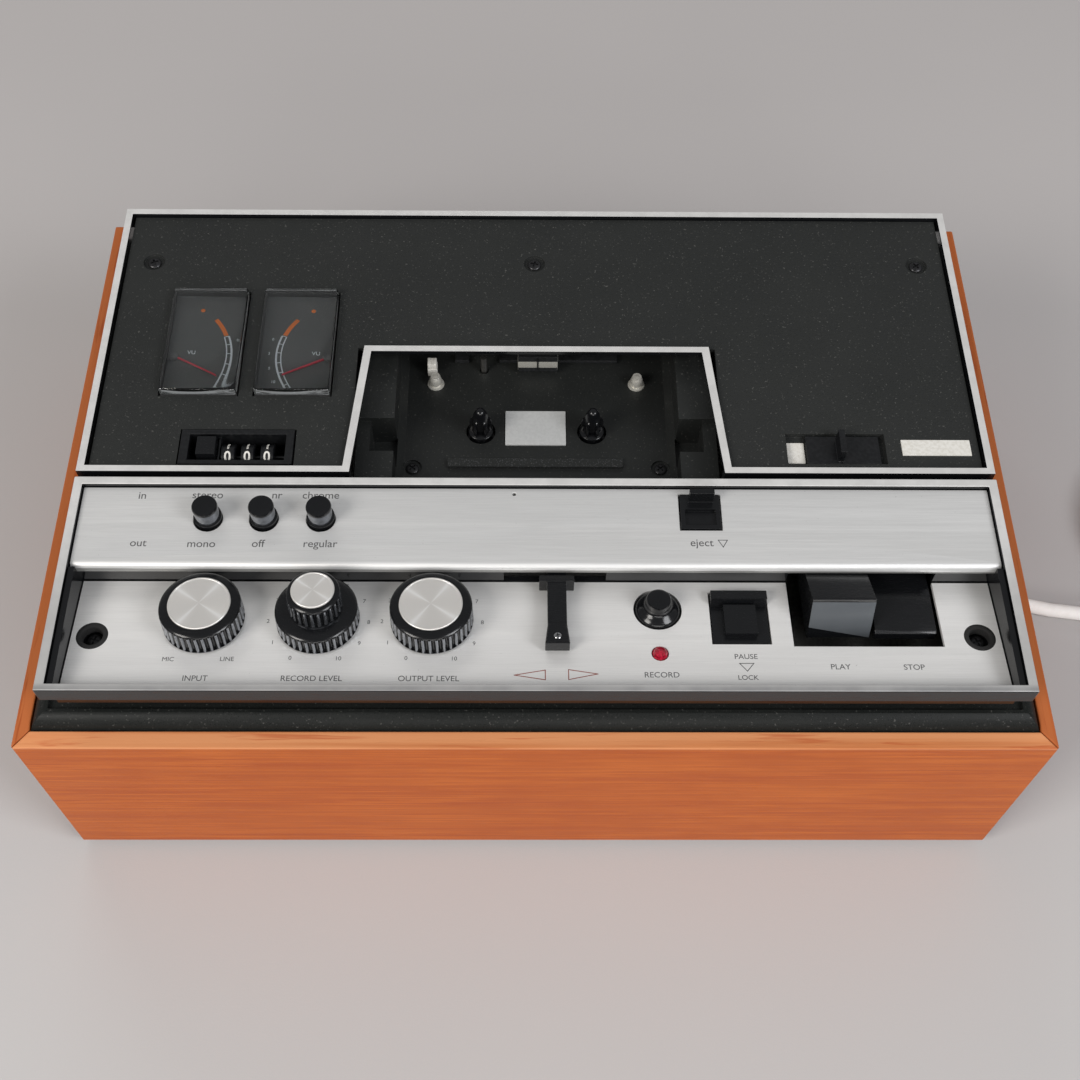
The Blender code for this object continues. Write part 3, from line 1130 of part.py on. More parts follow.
def knob_profile(radius, cap, top, bottom, shaft, shaft_end):
    rim = top + CAP_THICKNESS
    return ((0.0, rim - CAP_RIM / 2), (cap - 2 * CAP_RIM, rim - CAP_RIM / 2), (cap - CAP_RIM, rim),
            (cap, rim), (cap, top), (radius - KNOB_NECK_INSET, top),
            (radius - KNOB_SHOULDER_INSET, top - (KNOB_TOP - KNOB_SHOULDER)),
            (radius, bottom + KNOB_FOOT_FLARE), (radius, bottom), (shaft, bottom),
            (shaft, shaft_end), (0.0, shaft_end))


def make_knobs():
    y = panel_y(KNOB_Y)
    for name, x, radius in (("input_knob", INPUT_X, INPUT_RADIUS),
                            ("output_knob", OUTPUT_X, OUTPUT_RADIUS)):
        turned(name, knob_profile(radius, CAP_RADIUS, KNOB_TOP, KNOB_LIFT, SHAFT_RADIUS,
                                  -SHAFT_LENGTH), BLACK_GLOSS, (x, y, 0), KNOB_SEGMENTS, panel)
    bore = INNER_SHAFT_RADIUS + SHAFT_CLEARANCE
    ring = ((bore, RING_TOP), (RING_RADIUS - KNOB_NECK_INSET, RING_TOP),
            (RING_RADIUS - KNOB_SHOULDER_INSET, RING_TOP - (KNOB_TOP - KNOB_SHOULDER)),
            (RING_RADIUS, KNOB_LIFT + KNOB_FOOT_FLARE), (RING_RADIUS, KNOB_LIFT),
            (TUBE_SHAFT_RADIUS, KNOB_LIFT), (TUBE_SHAFT_RADIUS, -SHAFT_LENGTH),
            (bore, -SHAFT_LENGTH))
    turned("record_ring", ring, BLACK_GLOSS, (RECORD_X, y, 0), KNOB_SEGMENTS, panel)
    turned("record_knob", knob_profile(INNER_KNOB_RADIUS, INNER_CAP_RADIUS, INNER_KNOB_TOP,
                                       RING_TOP + KNOB_LIFT, INNER_SHAFT_RADIUS, -SHAFT_LENGTH),
           BLACK_GLOSS, (RECORD_X, y, 0), KNOB_SEGMENTS, panel)


def on_panel(y, z):
    """A point of the deck's side view, measured along and off the control panel."""
    along = y - PANEL_EDGE[0]
    up = z - PANEL_EDGE[1]
    turn = (math.cos(PANEL_ANGLE), math.sin(PANEL_ANGLE))
    return along * turn[0] - up * turn[1], along * turn[1] + up * turn[0]


def hinged_key(name, xs, profile, body_back):
    """A key on the rod behind it: its body, an arm and a bored hub."""
    pivot = on_panel(KEY_ROD_Y, KEY_ROD_Z)
    middle = (xs[0] + xs[1]) / 2
    shifted = [(a - pivot[0], b - pivot[1]) for a, b in profile]
    key = place(name, outline(name, [shifted], (xs[0] - middle, xs[1] - middle), "X"), BLACK_GLOSS,
                (middle, *pivot), panel)
    arm = box("key_arm", (-KEY_ARM_WIDTH / 2, KEY_ARM_WIDTH / 2), (body_back - pivot[0], 0),
              (KEY_ARM_N[0] - pivot[1], KEY_ARM_N[1] - pivot[1]))
    join(key, cutter(arm, (middle, *pivot), panel))
    half = (xs[1] - xs[0]) / 2
    join(key, cutter(rod("key_hub", KEY_HUB_RADIUS, -half, half, (0, 0), 16, None, "X"),
                     (middle, *pivot), panel))
    cut(key, cutter(rod("key_bore", KEY_ROD_RADIUS + GAP, *through((-half, half)), (0, 0), 12,
                        None, "X"), (middle, *pivot), panel))
    return key, pivot, middle


def make_keys():
    hinged_key("play_key", PLAY_X, PLAY_PROFILE, PLAY_PROFILE[0][0] - GAP)
    hinged_key("stop_key", STOP_X, STOP_PROFILE, STOP_PROFILE[0][0] - GAP)
    xs = shrink(PAUSE_OPENING_X, KEY_GAP)
    front, back = shrink(tuple(panel_y(y) for y in PAUSE_OPENING_Y), KEY_GAP)
    low, high = PAUSE_BASE_N
    profile = [(back, low), (back, high), (PAUSE_RIDGE[1], PAUSE_RIDGE[2]),
               (PAUSE_RIDGE[0], PAUSE_RIDGE[2]), (PAUSE_RIDGE[0] - SLIDE_GAP, high), (front, high),
               (front, low)]
    pause, pivot, middle = hinged_key("pause_key", xs, profile, back - SLIDE_GAP)
    block = box("pause_block", shrink((xs[0] - middle, xs[1] - middle), PAUSE_BLOCK_INSET),
                (PAUSE_BLOCK[0] - pivot[0], PAUSE_BLOCK[1] - pivot[0]),
                (low + SLIDE_GAP - pivot[1], PAUSE_BLOCK[2] - pivot[1]))
    join(pause, cutter(block, (middle, *pivot), panel))


def make_lever():
    x, y = LEVER_PIVOT
    half = LEVER_BAR_WIDTH / 2
    wide = LEVER_FOOT_WIDTH / 2
    bar = outline("wind_lever", [[(-half, 0), (-half, LEVER_BAR_FRONT - y),
                                  (-wide, LEVER_FOOT_FRONT - y), (wide, LEVER_FOOT_FRONT - y),
                                  (half, LEVER_BAR_FRONT - y), (half, 0)]], LEVER_BAR_N)
    lever = place("wind_lever", bar, BLACK_GLOSS, (x, y, 0), panel)
    collar = box("collar", (-LEVER_COLLAR_WIDTH / 2, LEVER_COLLAR_WIDTH / 2),
                 (LEVER_COLLAR[0] - y, LEVER_COLLAR[1] - y),
                 (LEVER_BAR_N[0] - SLIDE_GAP, LEVER_COLLAR_TOP))
    join(lever, cutter(collar, (x, y, 0), panel))
    foot = outline("foot_top", [[(-half + GAP, LEVER_BAR_FRONT - y), (-wide + GAP, LEVER_FOOT_FRONT
                                 - y + GAP), (wide - GAP, LEVER_FOOT_FRONT - y + GAP),
                                 (half - GAP, LEVER_BAR_FRONT - y)]],
                   (LEVER_BAR_N[1] - GAP, LEVER_FOOT_TOP))
    join(lever, cutter(foot, (x, y, 0), panel))
    join(lever, cutter(rod("hub", LEVER_HUB_RADIUS, LEVER_BAR_N[0], LEVER_BAR_N[1] - GAP, (0, 0),
                           20), (x, y, 0), panel))
    cut(lever, cutter(rod("bore", LEVER_PIN_RADIUS + SHAFT_CLEARANCE, *through(LEVER_BAR_N),
                          (0, 0), 16), (x, y, 0), panel))


def make_buttons():
    spot = (RECORD_AT[0], panel_y(RECORD_AT[1]), 0)
    turned("record_button", RECORD_PROFILE, BLACK_GLOSS, spot, 32, panel)
    dome = ((0.0, LAMP_TOP), (LAMP_RADIUS * math.sin(math.pi / 4), LAMP_TOP * HALF),
            (LAMP_RADIUS, 0.0), (LAMP_RADIUS, -LAMP_DEPTH), (0.0, -LAMP_DEPTH))
    turned("record_lamp", dome, RED, (LAMP_AT[0], panel_y(LAMP_AT[1]), 0), LAMP_FACETS, panel)
    chamfer = MODE_BASE_RADIUS - MODE_TOP_RADIUS
    for index, x in enumerate(MODE_X):
        profile = ((0.0, MODE_TOP), (MODE_TOP_RADIUS - chamfer, MODE_TOP),
                   (MODE_TOP_RADIUS, MODE_TOP - chamfer), (MODE_BASE_RADIUS, STRIP_TOP + GAP),
                   (MODE_BASE_RADIUS, MODE_BOTTOM), (0.0, MODE_BOTTOM))
        turned(f"mode_button_{index + 1}", profile, BLACK_GLOSS, (x, MODE_Y, 0), MODE_SEGMENTS)
    xs = shrink(EJECT_OPENING_X, KEY_GAP)
    ys = shrink(EJECT_OPENING_Y, KEY_GAP)
    eject = place("eject_key", box("eject_key", xs, ys, (EJECT_BOTTOM, EJECT_RIM_TOP)),
                  BLACK_GLOSS)
    cut(eject, cutter(box("pan", EJECT_PAN_X, EJECT_PAN_Y, (EJECT_PAN_TOP, FRAME_TOP))))
    join(eject, cutter(box("tab", EJECT_TAB_X, EJECT_TAB_Y, (EJECT_PAN_TOP, EJECT_TAB_TOP))))


def make_meters():
    left, right = METER_X
    bodies = place("vu_bodies", box("vu_bodies", (left[0], right[1]), METER_Y, METER_BODY_Z),
                   METER_GREY)
    cut(bodies, cutter(box("meter_split", (left[1], right[0]), through(METER_Y),
                           (METER_WEB_Z, FRAME_TOP))))
    cut(bodies, cutter(merged("meter_rooms", [
        box("room", shrink(xs, METER_WALL), shrink(METER_Y, METER_WALL),
            (METER_FACE_Z, FRAME_TOP)) for xs in METER_X])))
    for name, xs in (("vu_lens_left", left), ("vu_lens_right", right)):
        lens = place(name, box(name, xs, METER_Y, LENS_Z), CLEAR)
        bevel = lens.modifiers.new("edge", "BEVEL")
        bevel.width = LENS_BEVEL
        bevel.segments = 2
    needles = ((NEEDLE_PIVOT_X[0], "vu_needle_left", NEEDLE_REST),
               (NEEDLE_PIVOT_X[1], "vu_needle_right", math.pi - NEEDLE_REST))
    for x, name, rest in needles:
        at = (x, NEEDLE_PIVOT_Y, 0)
        needle = place(name, rod(name, NEEDLE_HUB, *NEEDLE_HUB_Z, (0, 0), 16), STEEL, at)
        pointer = box("pointer", (0, NEEDLE_LENGTH), (-NEEDLE_WIDTH / 2, NEEDLE_WIDTH / 2),
                      NEEDLE_Z)
        join(needle, cutter(pointer, at, None, (0, 0, rest)))


def make_counter():
    body = place("counter_body", box("counter_body", COUNTER_X, COUNTER_Y, COUNTER_Z),
                 BLACK_GLOSS)
    cut(body, cutter(box("window_room", COUNTER_WINDOW_X, COUNTER_WINDOW_Y,
                         (COUNTER_WINDOW_FLOOR, FRAME_TOP))))
    axis = WHEEL_AXIS
    cheek_top = axis[1] + WHEEL_RADIUS - SLIDE_GAP
    join(body, cutter(box("cheek", COUNTER_CHEEK_X, (COUNTER_WINDOW_Y[0] - GAP,
                                                     COUNTER_WINDOW_Y[1] + GAP),
                          (COUNTER_WINDOW_FLOOR - GAP, cheek_top))))
    join(body, cutter(rod("counter_pin", COUNTER_PIN_RADIUS, COUNTER_CHEEK_X[0] + GAP,
                          COUNTER_WINDOW_X[1] + GAP, axis, 10, None, "X")))
    for index, xs in enumerate(WHEEL_X):
        half = (xs[1] - xs[0]) / 2
        profile = ((WHEEL_BORE, half), (WHEEL_RADIUS, half), (WHEEL_RADIUS, -half),
                   (WHEEL_BORE, -half))
        turned(f"counter_wheel_{index + 1}", profile, BLACK_MATT, ((xs[0] + xs[1]) / 2, *axis), 20,
               None, (0, RIGHT_ANGLE, 0))
    place("counter_reset", box("counter_reset", RESET_X, RESET_Y, RESET_Z), BLACK_GLOSS)
    slider = place("power_slider", box("power_slider", SLIDER_X, SLIDER_Y, SLIDER_Z), BLACK_MATT)
    cut(slider, cutter(box("groove", SLIDER_GROOVE_X, SLIDER_Y,
                           (SLIDER_Z[1] - GAP, SLIDER_RIDGE_TOP))))
    join(slider, cutter(box("ridge", SLIDER_RIDGE_X, SLIDER_RIDGE_Y,
                            (SLIDER_Z[0] + GAP, SLIDER_RIDGE_TOP))))


CORD_FLOOR = CORD_RADIUS + CORD_LIFT - FOOT_HEIGHT
COIL_START = (COIL_CENTRE[0], COIL_CENTRE[1] - COIL_OUTER)


def smooth_route():
    """Points at an even step along a smooth line through the route."""
    shares = CORD_HEIGHT_SHARES + (0.0,) * (len(CORD_ROUTE) - len(CORD_HEIGHT_SHARES))
    rise = RELIEF_Z - CORD_FLOOR
    knots = [Vector((x, y, CORD_FLOOR + share * rise))
             for (x, y), share in zip(CORD_ROUTE, shares)]
    knots.append(Vector((COIL_START[0] - 2 * CORD_RADIUS - GAP, COIL_START[1], CORD_FLOOR)))
    ends = [2 * knots[0] - knots[1]] + knots + [2 * knots[-1] - knots[-2]]
    ends[0].z = knots[0].z
    ends[-1].y = knots[-1].y
    fine = []
    for a, b, c, d in zip(ends, ends[1:], ends[2:], ends[3:]):
        for step in range(COIL_POINTS):
            t = step / COIL_POINTS
            point = (2 * b + (c - a) * t + (2 * a - 5 * b + 4 * c - d) * t ** 2
                     + (3 * b - a - 3 * c + d) * t ** 3) / 2
            point.z = max(point.z, CORD_FLOOR)
            fine.append(point)
    fine.append(knots[-1])
    lengths = [0.0]
    for a, b in zip(fine, fine[1:]):
        lengths.append(lengths[-1] + (b - a).length)
    count = round(lengths[-1] / (CORD_STEP_DIAMETERS * 2 * CORD_RADIUS))
    points = []
    index = 0
    for step in range(count + 1):
        wanted = lengths[-1] * step / count
        while index < len(fine) - 2 and lengths[index + 1] < wanted:
            index += 1
        span = lengths[index + 1] - lengths[index]
        points.append(fine[index].lerp(fine[index + 1], (wanted - lengths[index]) / span))
    return points


def coil_points():
    """Loops wound in to the middle, then out again one layer higher."""
    points = [Vector((COIL_START[0] - 2 * CORD_RADIUS, COIL_START[1], CORD_FLOOR))]
    steps = COIL_TURNS * COIL_POINTS
    for step in range(steps + 1):
        turns = step / COIL_POINTS
        inward = min(turns, COIL_TURNS - turns)
        radius = COIL_OUTER - COIL_PITCH * inward
        climb = min(max(turns - COIL_TURNS / 2 + 1 / 4, 0.0), HALF) / HALF
        angle = 2 * math.pi * turns - RIGHT_ANGLE
        points.append(Vector((COIL_CENTRE[0] + radius * math.cos(angle),
                              COIL_CENTRE[1] + radius * math.sin(angle),
                              CORD_FLOOR + COIL_RISE * climb)))
    points.append(Vector((COIL_START[0] + COIL_TAIL, COIL_START[1], CORD_FLOOR + COIL_RISE)))
    return points


def tube(name, points, resolution):
    curve = bpy.data.curves.new(name, "CURVE")
    curve.dimensions = "3D"
    curve.bevel_depth = CORD_RADIUS
    curve.bevel_resolution = resolution
    curve.use_fill_caps = True
    spline = curve.splines.new("POLY")
    spline.points.add(len(points) - 1)
    for target, point in zip(spline.points, points):
        target.co = (*point, 1)
    drawn = bpy.data.objects.new(name, curve)
    CUTTERS.objects.link(drawn)
    mesh = curve_to_mesh(drawn, name)
    smooth(mesh)
    return place(name, mesh, WHITE)


def least_gap(points):
    """Closest approach of the coil's turns to each other, skin to skin."""
    closest = COIL_OUTER
    for index, point in enumerate(points):
        for other in points[index + COIL_POINTS // 2:]:
            closest = min(closest, (point - other).length)
    return closest - 2 * CORD_RADIUS


def make_cord():
    turned("strain_relief", RELIEF_PROFILE, BLACK_MATT, (RELIEF_X, 0, RELIEF_Z), 16, None,
           (-RIGHT_ANGLE, 0, 0))
    tube("mains_cord", smooth_route(), 2)
    points = coil_points()
    tube("cord_coil", points, 1)
    print("least gap in the coil", round(least_gap(points), 5))
    x = COIL_START[0] + COIL_TAIL + GAP
    ys = (COIL_START[1] - PLUG_WIDTH / 2, COIL_START[1] + PLUG_WIDTH / 2)
    middle = CORD_FLOOR + COIL_RISE
    plug = place("mains_plug", box("mains_plug", (x, x + PLUG_LENGTH), ys,
                                   (middle - PLUG_HEIGHT / 2, middle + PLUG_HEIGHT / 2)), WHITE)
    bevel = plug.modifiers.new("edge", "BEVEL")
    bevel.width = PLUG_BEVEL
    bevel.segments = 2
    for side in (-1, 1):
        y = COIL_START[1] + side * BLADE_SPACING / 2
        join(plug, cutter(box("blade", (x + PLUG_LENGTH - PLUG_BEVEL,
                                        x + PLUG_LENGTH + BLADE_LENGTH),
                              (y - BLADE_THICKNESS / 2, y + BLADE_THICKNESS / 2),
                              (middle - BLADE_WIDTH / 2, middle + BLADE_WIDTH / 2))))


make_case()
make_base()
make_tray()
make_chassis()
make_frames()
make_surround()
make_strip()
make_control_panel()
make_cover()
make_well()
make_spindles()
make_transport()
make_electrics()
make_screws()
make_knobs()
make_keys()
make_lever()
make_buttons()
make_meters()
make_counter()
make_cord()
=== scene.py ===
import math

import bmesh
import bpy
from mathutils import Matrix, Vector


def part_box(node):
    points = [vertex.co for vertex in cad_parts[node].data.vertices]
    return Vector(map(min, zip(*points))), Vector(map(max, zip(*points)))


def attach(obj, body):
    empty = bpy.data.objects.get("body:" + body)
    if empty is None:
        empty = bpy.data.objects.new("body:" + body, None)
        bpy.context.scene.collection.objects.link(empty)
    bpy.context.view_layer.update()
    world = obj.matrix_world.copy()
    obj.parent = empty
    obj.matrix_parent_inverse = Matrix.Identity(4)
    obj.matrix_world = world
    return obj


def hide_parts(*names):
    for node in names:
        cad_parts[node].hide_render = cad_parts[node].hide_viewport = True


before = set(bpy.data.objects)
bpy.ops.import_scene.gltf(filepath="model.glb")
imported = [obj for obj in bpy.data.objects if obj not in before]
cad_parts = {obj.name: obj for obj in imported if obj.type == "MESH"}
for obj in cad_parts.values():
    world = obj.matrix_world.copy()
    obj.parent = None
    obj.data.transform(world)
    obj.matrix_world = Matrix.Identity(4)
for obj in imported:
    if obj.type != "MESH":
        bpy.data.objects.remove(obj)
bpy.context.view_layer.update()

# Points are in millimetres on the deck: X from its middle, Y back from the
# face of the front board, Z up from the lower edge of the boards.
HALF_DEPTH = 118.75
BOARDS_RISE = 5
DECK = Matrix.Translation((0, -HALF_DEPTH, BOARDS_RISE))
STRIP_TOP = 118.0
WELL_FLOOR = 95.0
PIN_AT = (39.3, 152.4)
SPINDLE_AT = (21.3, 129.5)
GUIDE = ((-42.6, -38.8), (156.2, 160.3))
SIDES = ((-1, "left"), (1, "right"))
# The control panel slopes down to the front from its upper edge
PANEL_EDGE = (56, 107.8)
TILT = math.atan(0.1122)
PANEL = DECK @ Matrix.Translation((0, *PANEL_EDGE)) @ Matrix.Rotation(-TILT, 4, "X")
MM = Matrix.Scale(0.001, 4)
FACING_BACK = Matrix.Rotation(-math.pi / 2, 4, "X")


def panel_y(y):
    """A distance on the deck, measured along the sloping panel."""
    return (y - PANEL_EDGE[0]) / math.cos(TILT)


def around(middle, radius, angle):
    """A point on a circle."""
    return middle[0] + radius * math.cos(angle), middle[1] + radius * math.sin(angle)


def added(name, data):
    """An object in the scene, for a mesh or other data."""
    shown = bpy.data.objects.new(name, data)
    bpy.context.scene.collection.objects.link(shown)
    return shown


# Camera, at the photograph's angle
eye = bpy.data.cameras.new("camera")
eye.sensor_width = 36
eye.lens = 47.2626
eye.shift_x = 0.001015
eye.shift_y = 0.002638
eye.clip_start = 0.01
camera = added("camera", eye)
camera.matrix_world = Matrix((
    (0.999923, -0.002757, -0.012093, -0.005484),
    (-0.003874, 0.856769, -0.515686, -0.307010),
    (0.011783, 0.515694, 0.856692, 0.545258),
    (0, 0, 0, 1)))
bpy.context.scene.camera = camera


# Materials

def linear(code):
    """The linear colour of an sRGB hex value."""
    parts = [int(code[i:i + 2], 16) / 255 for i in (1, 3, 5)]
    return tuple(p / 12.92 if p <= 0.04045 else ((p + 0.055) / 1.055) ** 2.4
                 for p in parts) + (1.0,)


class Look:
    """A material and short ways to add and join its nodes."""

    def __init__(self, name, rough=0.5, metal=0.0):
        self.mat = bpy.data.materials.new(name)
        self.mat.use_nodes = True
        self.tree = self.mat.node_tree
        self.shader = self.tree.nodes["Principled BSDF"]
        self.shader.inputs["Roughness"].default_value = rough
        self.shader.inputs["Metallic"].default_value = metal
        self.where = self.node("ShaderNodeTexCoord").outputs["Object"]

    def node(self, kind, **values):
        """A new node with its settings."""
        made = self.tree.nodes.new(kind)
        for key, value in values.items():
            setattr(made, key, value)
        return made

    def link(self, value, socket):
        """Feeds a socket from another one, or gives it a fixed value."""
        if hasattr(value, "is_linked"):
            self.tree.links.new(value, socket)
        else:
            socket.default_value = value

    def put(self, **values):
        """Feeds inputs of the shader, with _ for the spaces in their names."""
        for key, value in values.items():
            self.link(value, self.shader.inputs[key.replace("_", " ")])
        return self

    def coords(self, scale, turn=(0, 0, 0)):
        """Object coordinates with a scale in repeats per millimetre."""
        made = self.node("ShaderNodeMapping")
        self.link(self.where, made.inputs["Vector"])
        made.inputs["Scale"].default_value = [1000 * s for s in scale]
        made.inputs["Rotation"].default_value = turn
        return made.outputs["Vector"]

    def noise(self, scale, detail=3.0, rough=0.55, distort=0.0, stretch=(1, 1, 1),
              turn=(0, 0, 0)):
        """Noise with features about 1/scale millimetres wide."""
        made = self.node("ShaderNodeTexNoise")
        self.link(self.coords([s * scale for s in stretch], turn), made.inputs["Vector"])
        made.inputs["Scale"].default_value = 1.0
        made.inputs["Detail"].default_value = detail
        made.inputs["Roughness"].default_value = rough
        made.inputs["Distortion"].default_value = distort
        return made.outputs["Fac"]

    def cells(self, scale):
        """Distance from the middles of cells about 1/scale millimetres wide."""
        made = self.node("ShaderNodeTexVoronoi", feature="F1")
        self.link(self.coords([scale] * 3), made.inputs["Vector"])
        made.inputs["Scale"].default_value = 1.0
        made.inputs["Randomness"].default_value = 1.0
        return made.outputs["Distance"]

    def span(self, value, low, high, to_low=0.0, to_high=1.0):
        """A smooth step of the value between two levels."""
        made = self.node("ShaderNodeMapRange", clamp=True, interpolation_type="SMOOTHSTEP")
        for key, item in (("Value", value), ("From Min", low), ("From Max", high),
                          ("To Min", to_low), ("To Max", to_high)):
            self.link(item, made.inputs[key])
        return made.outputs["Result"]

    def math(self, kind, a, b=0.0):
        made = self.node("ShaderNodeMath", operation=kind)
        self.link(a, made.inputs[0])
        self.link(b, made.inputs[1])
        return made.outputs[0]

    def mix(self, factor, a, b):
        made = self.node("ShaderNodeMix", data_type="RGBA")
        self.link(factor, made.inputs["Factor"])
        self.link(linear(a) if isinstance(a, str) else a, made.inputs["A"])
        self.link(linear(b) if isinstance(b, str) else b, made.inputs["B"])
        return made.outputs["Result"]

    def over(self, base, tone, mask, share):
        """A tone laid over the base where the mask is, with a share of its strength."""
        return self.mix(self.math("MULTIPLY", mask, share), base, tone)

    def axis(self, name):
        """One coordinate in millimetres."""
        made = self.node("ShaderNodeSeparateXYZ")
        self.link(self.where, made.inputs[0])
        return self.math("MULTIPLY", made.outputs[name], 1000.0)

    def bump(self, height, depth, strength=1.0):
        """Relief of that depth in millimetres, laid over any relief before it."""
        made = self.node("ShaderNodeBump")
        made.inputs["Strength"].default_value = strength
        made.inputs["Distance"].default_value = depth / 1000
        self.link(height, made.inputs["Height"])
        earlier = self.shader.inputs["Normal"]
        if earlier.is_linked:
            self.link(earlier.links[0].from_socket, made.inputs["Normal"])
        self.link(made.outputs["Normal"], earlier)
        return self


def wood(name, along, tones):
    """Varnished straight grained teak, with the grain along one axis. The tones are
    two ground tones, a streak, the paler tone of the upper edge, partly a painted highlight and
    partly wear, and its redder streaks."""
    look = Look(name, 0.42)
    run, fine = [[drawn_out if axis == along else 1 for axis in "XYZ"]
                 for drawn_out in (0.02, 0.05)]
    broad = look.noise(0.16, 4, 0.6, 0.6, run)
    streak = look.noise(1.1, 5, 0.65, 0.2, run)
    pores = look.noise(3.2, 2, 0.7, 0.0, fine)
    base = look.mix(look.span(broad, 0.3, 0.7), *tones[:2])
    base = look.mix(look.span(streak, 0.42, 0.62), base, tones[2])
    dark = look.span(pores, 0.60, 0.72)
    base = look.over(base, "#74330E", dark, 0.28)
    patch = look.span(look.noise(0.03, 3), 0.35, 0.7)
    base = look.over(base, "#A34710", patch, 0.25)
    # The upper edge is painted paler, partly a painted highlight where its top catches the light
    # and partly uneven wear, with redder streaks left in it
    edge = look.span(look.axis("Z"), 95.6, 97.1)
    edge_share = look.span(look.noise(0.25, stretch=run), 0.25, 0.6, 0.45, 0.95)
    base = look.over(base, tones[3], edge, edge_share)
    worn = look.span(look.noise(0.45, 3, 0.6, 0.3, fine), 0.56, 0.68)
    base = look.over(base, tones[4], look.math("MULTIPLY", edge, worn), 0.55)
    look.put(Base_Color=base, Roughness=look.span(streak, 0.3, 0.7, 0.34, 0.5))
    look.put(Coat_Weight=0.05, Coat_Roughness=0.3, Specular_IOR_Level=0.18)
    look.bump(look.math("SUBTRACT", streak, look.math("MULTIPLY", dark, 0.6)), 0.04)
    return look.mat


def brushed(name, pale, dark, rough):
    """Clear anodised aluminium with fine brush lines along X."""
    look = Look(name, rough, 0.45)
    stretch = (0.02, 1.6, 1.6)
    lines = look.noise(3.0, 3, 0.7, 0.0, stretch)
    wide = look.noise(0.5, 2, 0.6, 0.0, stretch)
    tone = look.mix(look.span(lines, 0.35, 0.65), dark, pale)
    haze = look.span(look.noise(0.02, 4, 0.6), 0.35, 0.7)
    tone = look.mix(look.math("MULTIPLY", haze, 0.3), tone, dark)
    specks = look.span(look.noise(1.4, 2, 0.5), 0.73, 0.79)
    tone = look.over(tone, "#6E6A64", specks, 0.35)
    look.put(Base_Color=tone, Roughness=look.span(wide, 0.3, 0.7, rough - 0.05, rough + 0.07))
    look.put(Anisotropic=0.4)
    look.bump(lines, 0.004)
    return look.mat


def frame_metal(name):
    """Satin aluminium rim, greyer towards the front and rubbed along its front edge."""
    look = Look(name, 0.42, 0.4)
    lines = look.noise(2.2, 3, 0.7, 0.0, (0.05, 0.05, 1.0))
    tone = look.mix(look.span(lines, 0.35, 0.65), "#DDDCDA", "#E6E5E3")
    near = look.span(look.axis("Y"), -45.0, -90.0)
    tone = look.over(tone, "#A9A8A6", near, 0.6)
    front = look.span(look.axis("Y"), -107.2, -109.4)
    edge_share = look.span(look.noise(0.05, 4, 0.6), 0.35, 0.7, 0.55, 0.95)
    tone = look.over(tone, "#8F8F90", front, edge_share)
    specks = look.span(look.noise(1.8, 2, 0.5), 0.74, 0.80)
    tone = look.over(tone, "#6B6862", specks, 0.35)
    look.put(Base_Color=tone, Roughness=look.span(lines, 0.3, 0.7, 0.38, 0.48))
    look.bump(lines, 0.004)
    return look.mat


def gloss_black(name, tone="#0E0F11", rough=0.14, dust=0.2):
    """Polished black plastic with a little dust and fine wiping marks."""
    look = Look(name, rough)
    haze = look.noise(0.05, 4, 0.6)
    fine = look.noise(2.6, 4, 0.7)
    grains = look.span(fine, 0.64, 0.74)
    base = look.over(tone, "#6B6A68", grains, dust)
    base = look.mix(look.span(haze, 0.35, 0.8, 0.0, 0.2), base, "#1C1C1E")
    wipe = look.noise(1.0, 3, 0.7, 0.3, (0.15, 2.2, 1.0), (0, 0, 0.5))
    rough_value = look.math("ADD", look.span(wipe, 0.4, 0.75, rough, rough + 0.12),
                            look.math("MULTIPLY", grains, 0.3))
    look.put(Base_Color=base, Roughness=rough_value, Specular_IOR_Level=0.42)
    look.bump(wipe, 0.004)
    return look.mat


def grained_black(name, tone="#121413", size=1.7, depth=0.05, rough=0.55, shine=0.5):
    """Black panel with a fine leather like grain and pale dust in its pits."""
    look = Look(name, rough)
    grain = look.cells(size)
    crumple = look.noise(size * 0.9, 4, 0.6)
    height = look.math("ADD", look.span(grain, 0.0, 0.75), look.math("MULTIPLY", crumple, 0.6))
    pits = look.span(height, 0.35, 0.75)
    base = look.mix(pits, tone, "#1B1D1C")
    dust = look.span(look.noise(1.1, 3, 0.6), 0.62, 0.72)
    base = look.over(base, "#7C7B77", dust, 0.34)
    cloud = look.span(look.noise(0.02, 4, 0.6), 0.3, 0.75)
    base = look.over(base, "#343533", cloud, 0.15)
    look.put(Base_Color=base, Roughness=look.span(pits, 0, 1, rough - 0.08, rough + 0.12))
    look.put(Specular_IOR_Level=shine)
    look.bump(height, depth, 0.8)
    return look.mat


def plain(name, tone, second, rough=0.4, metal=0.0, scale=0.8, depth=0.01, coat=0.0):
    """A moulded or turned finish with slight mottling of tone and gloss."""
    look = Look(name, rough, metal)
    spots = look.noise(scale, 4, 0.6)
    look.put(Base_Color=look.mix(look.span(spots, 0.35, 0.7), tone, second))
    look.put(Roughness=look.span(spots, 0.3, 0.7, rough - 0.05, rough + 0.08))
    if coat:
        look.put(Coat_Weight=coat, Coat_Roughness=0.1)
    look.bump(spots, depth)
    return look.mat


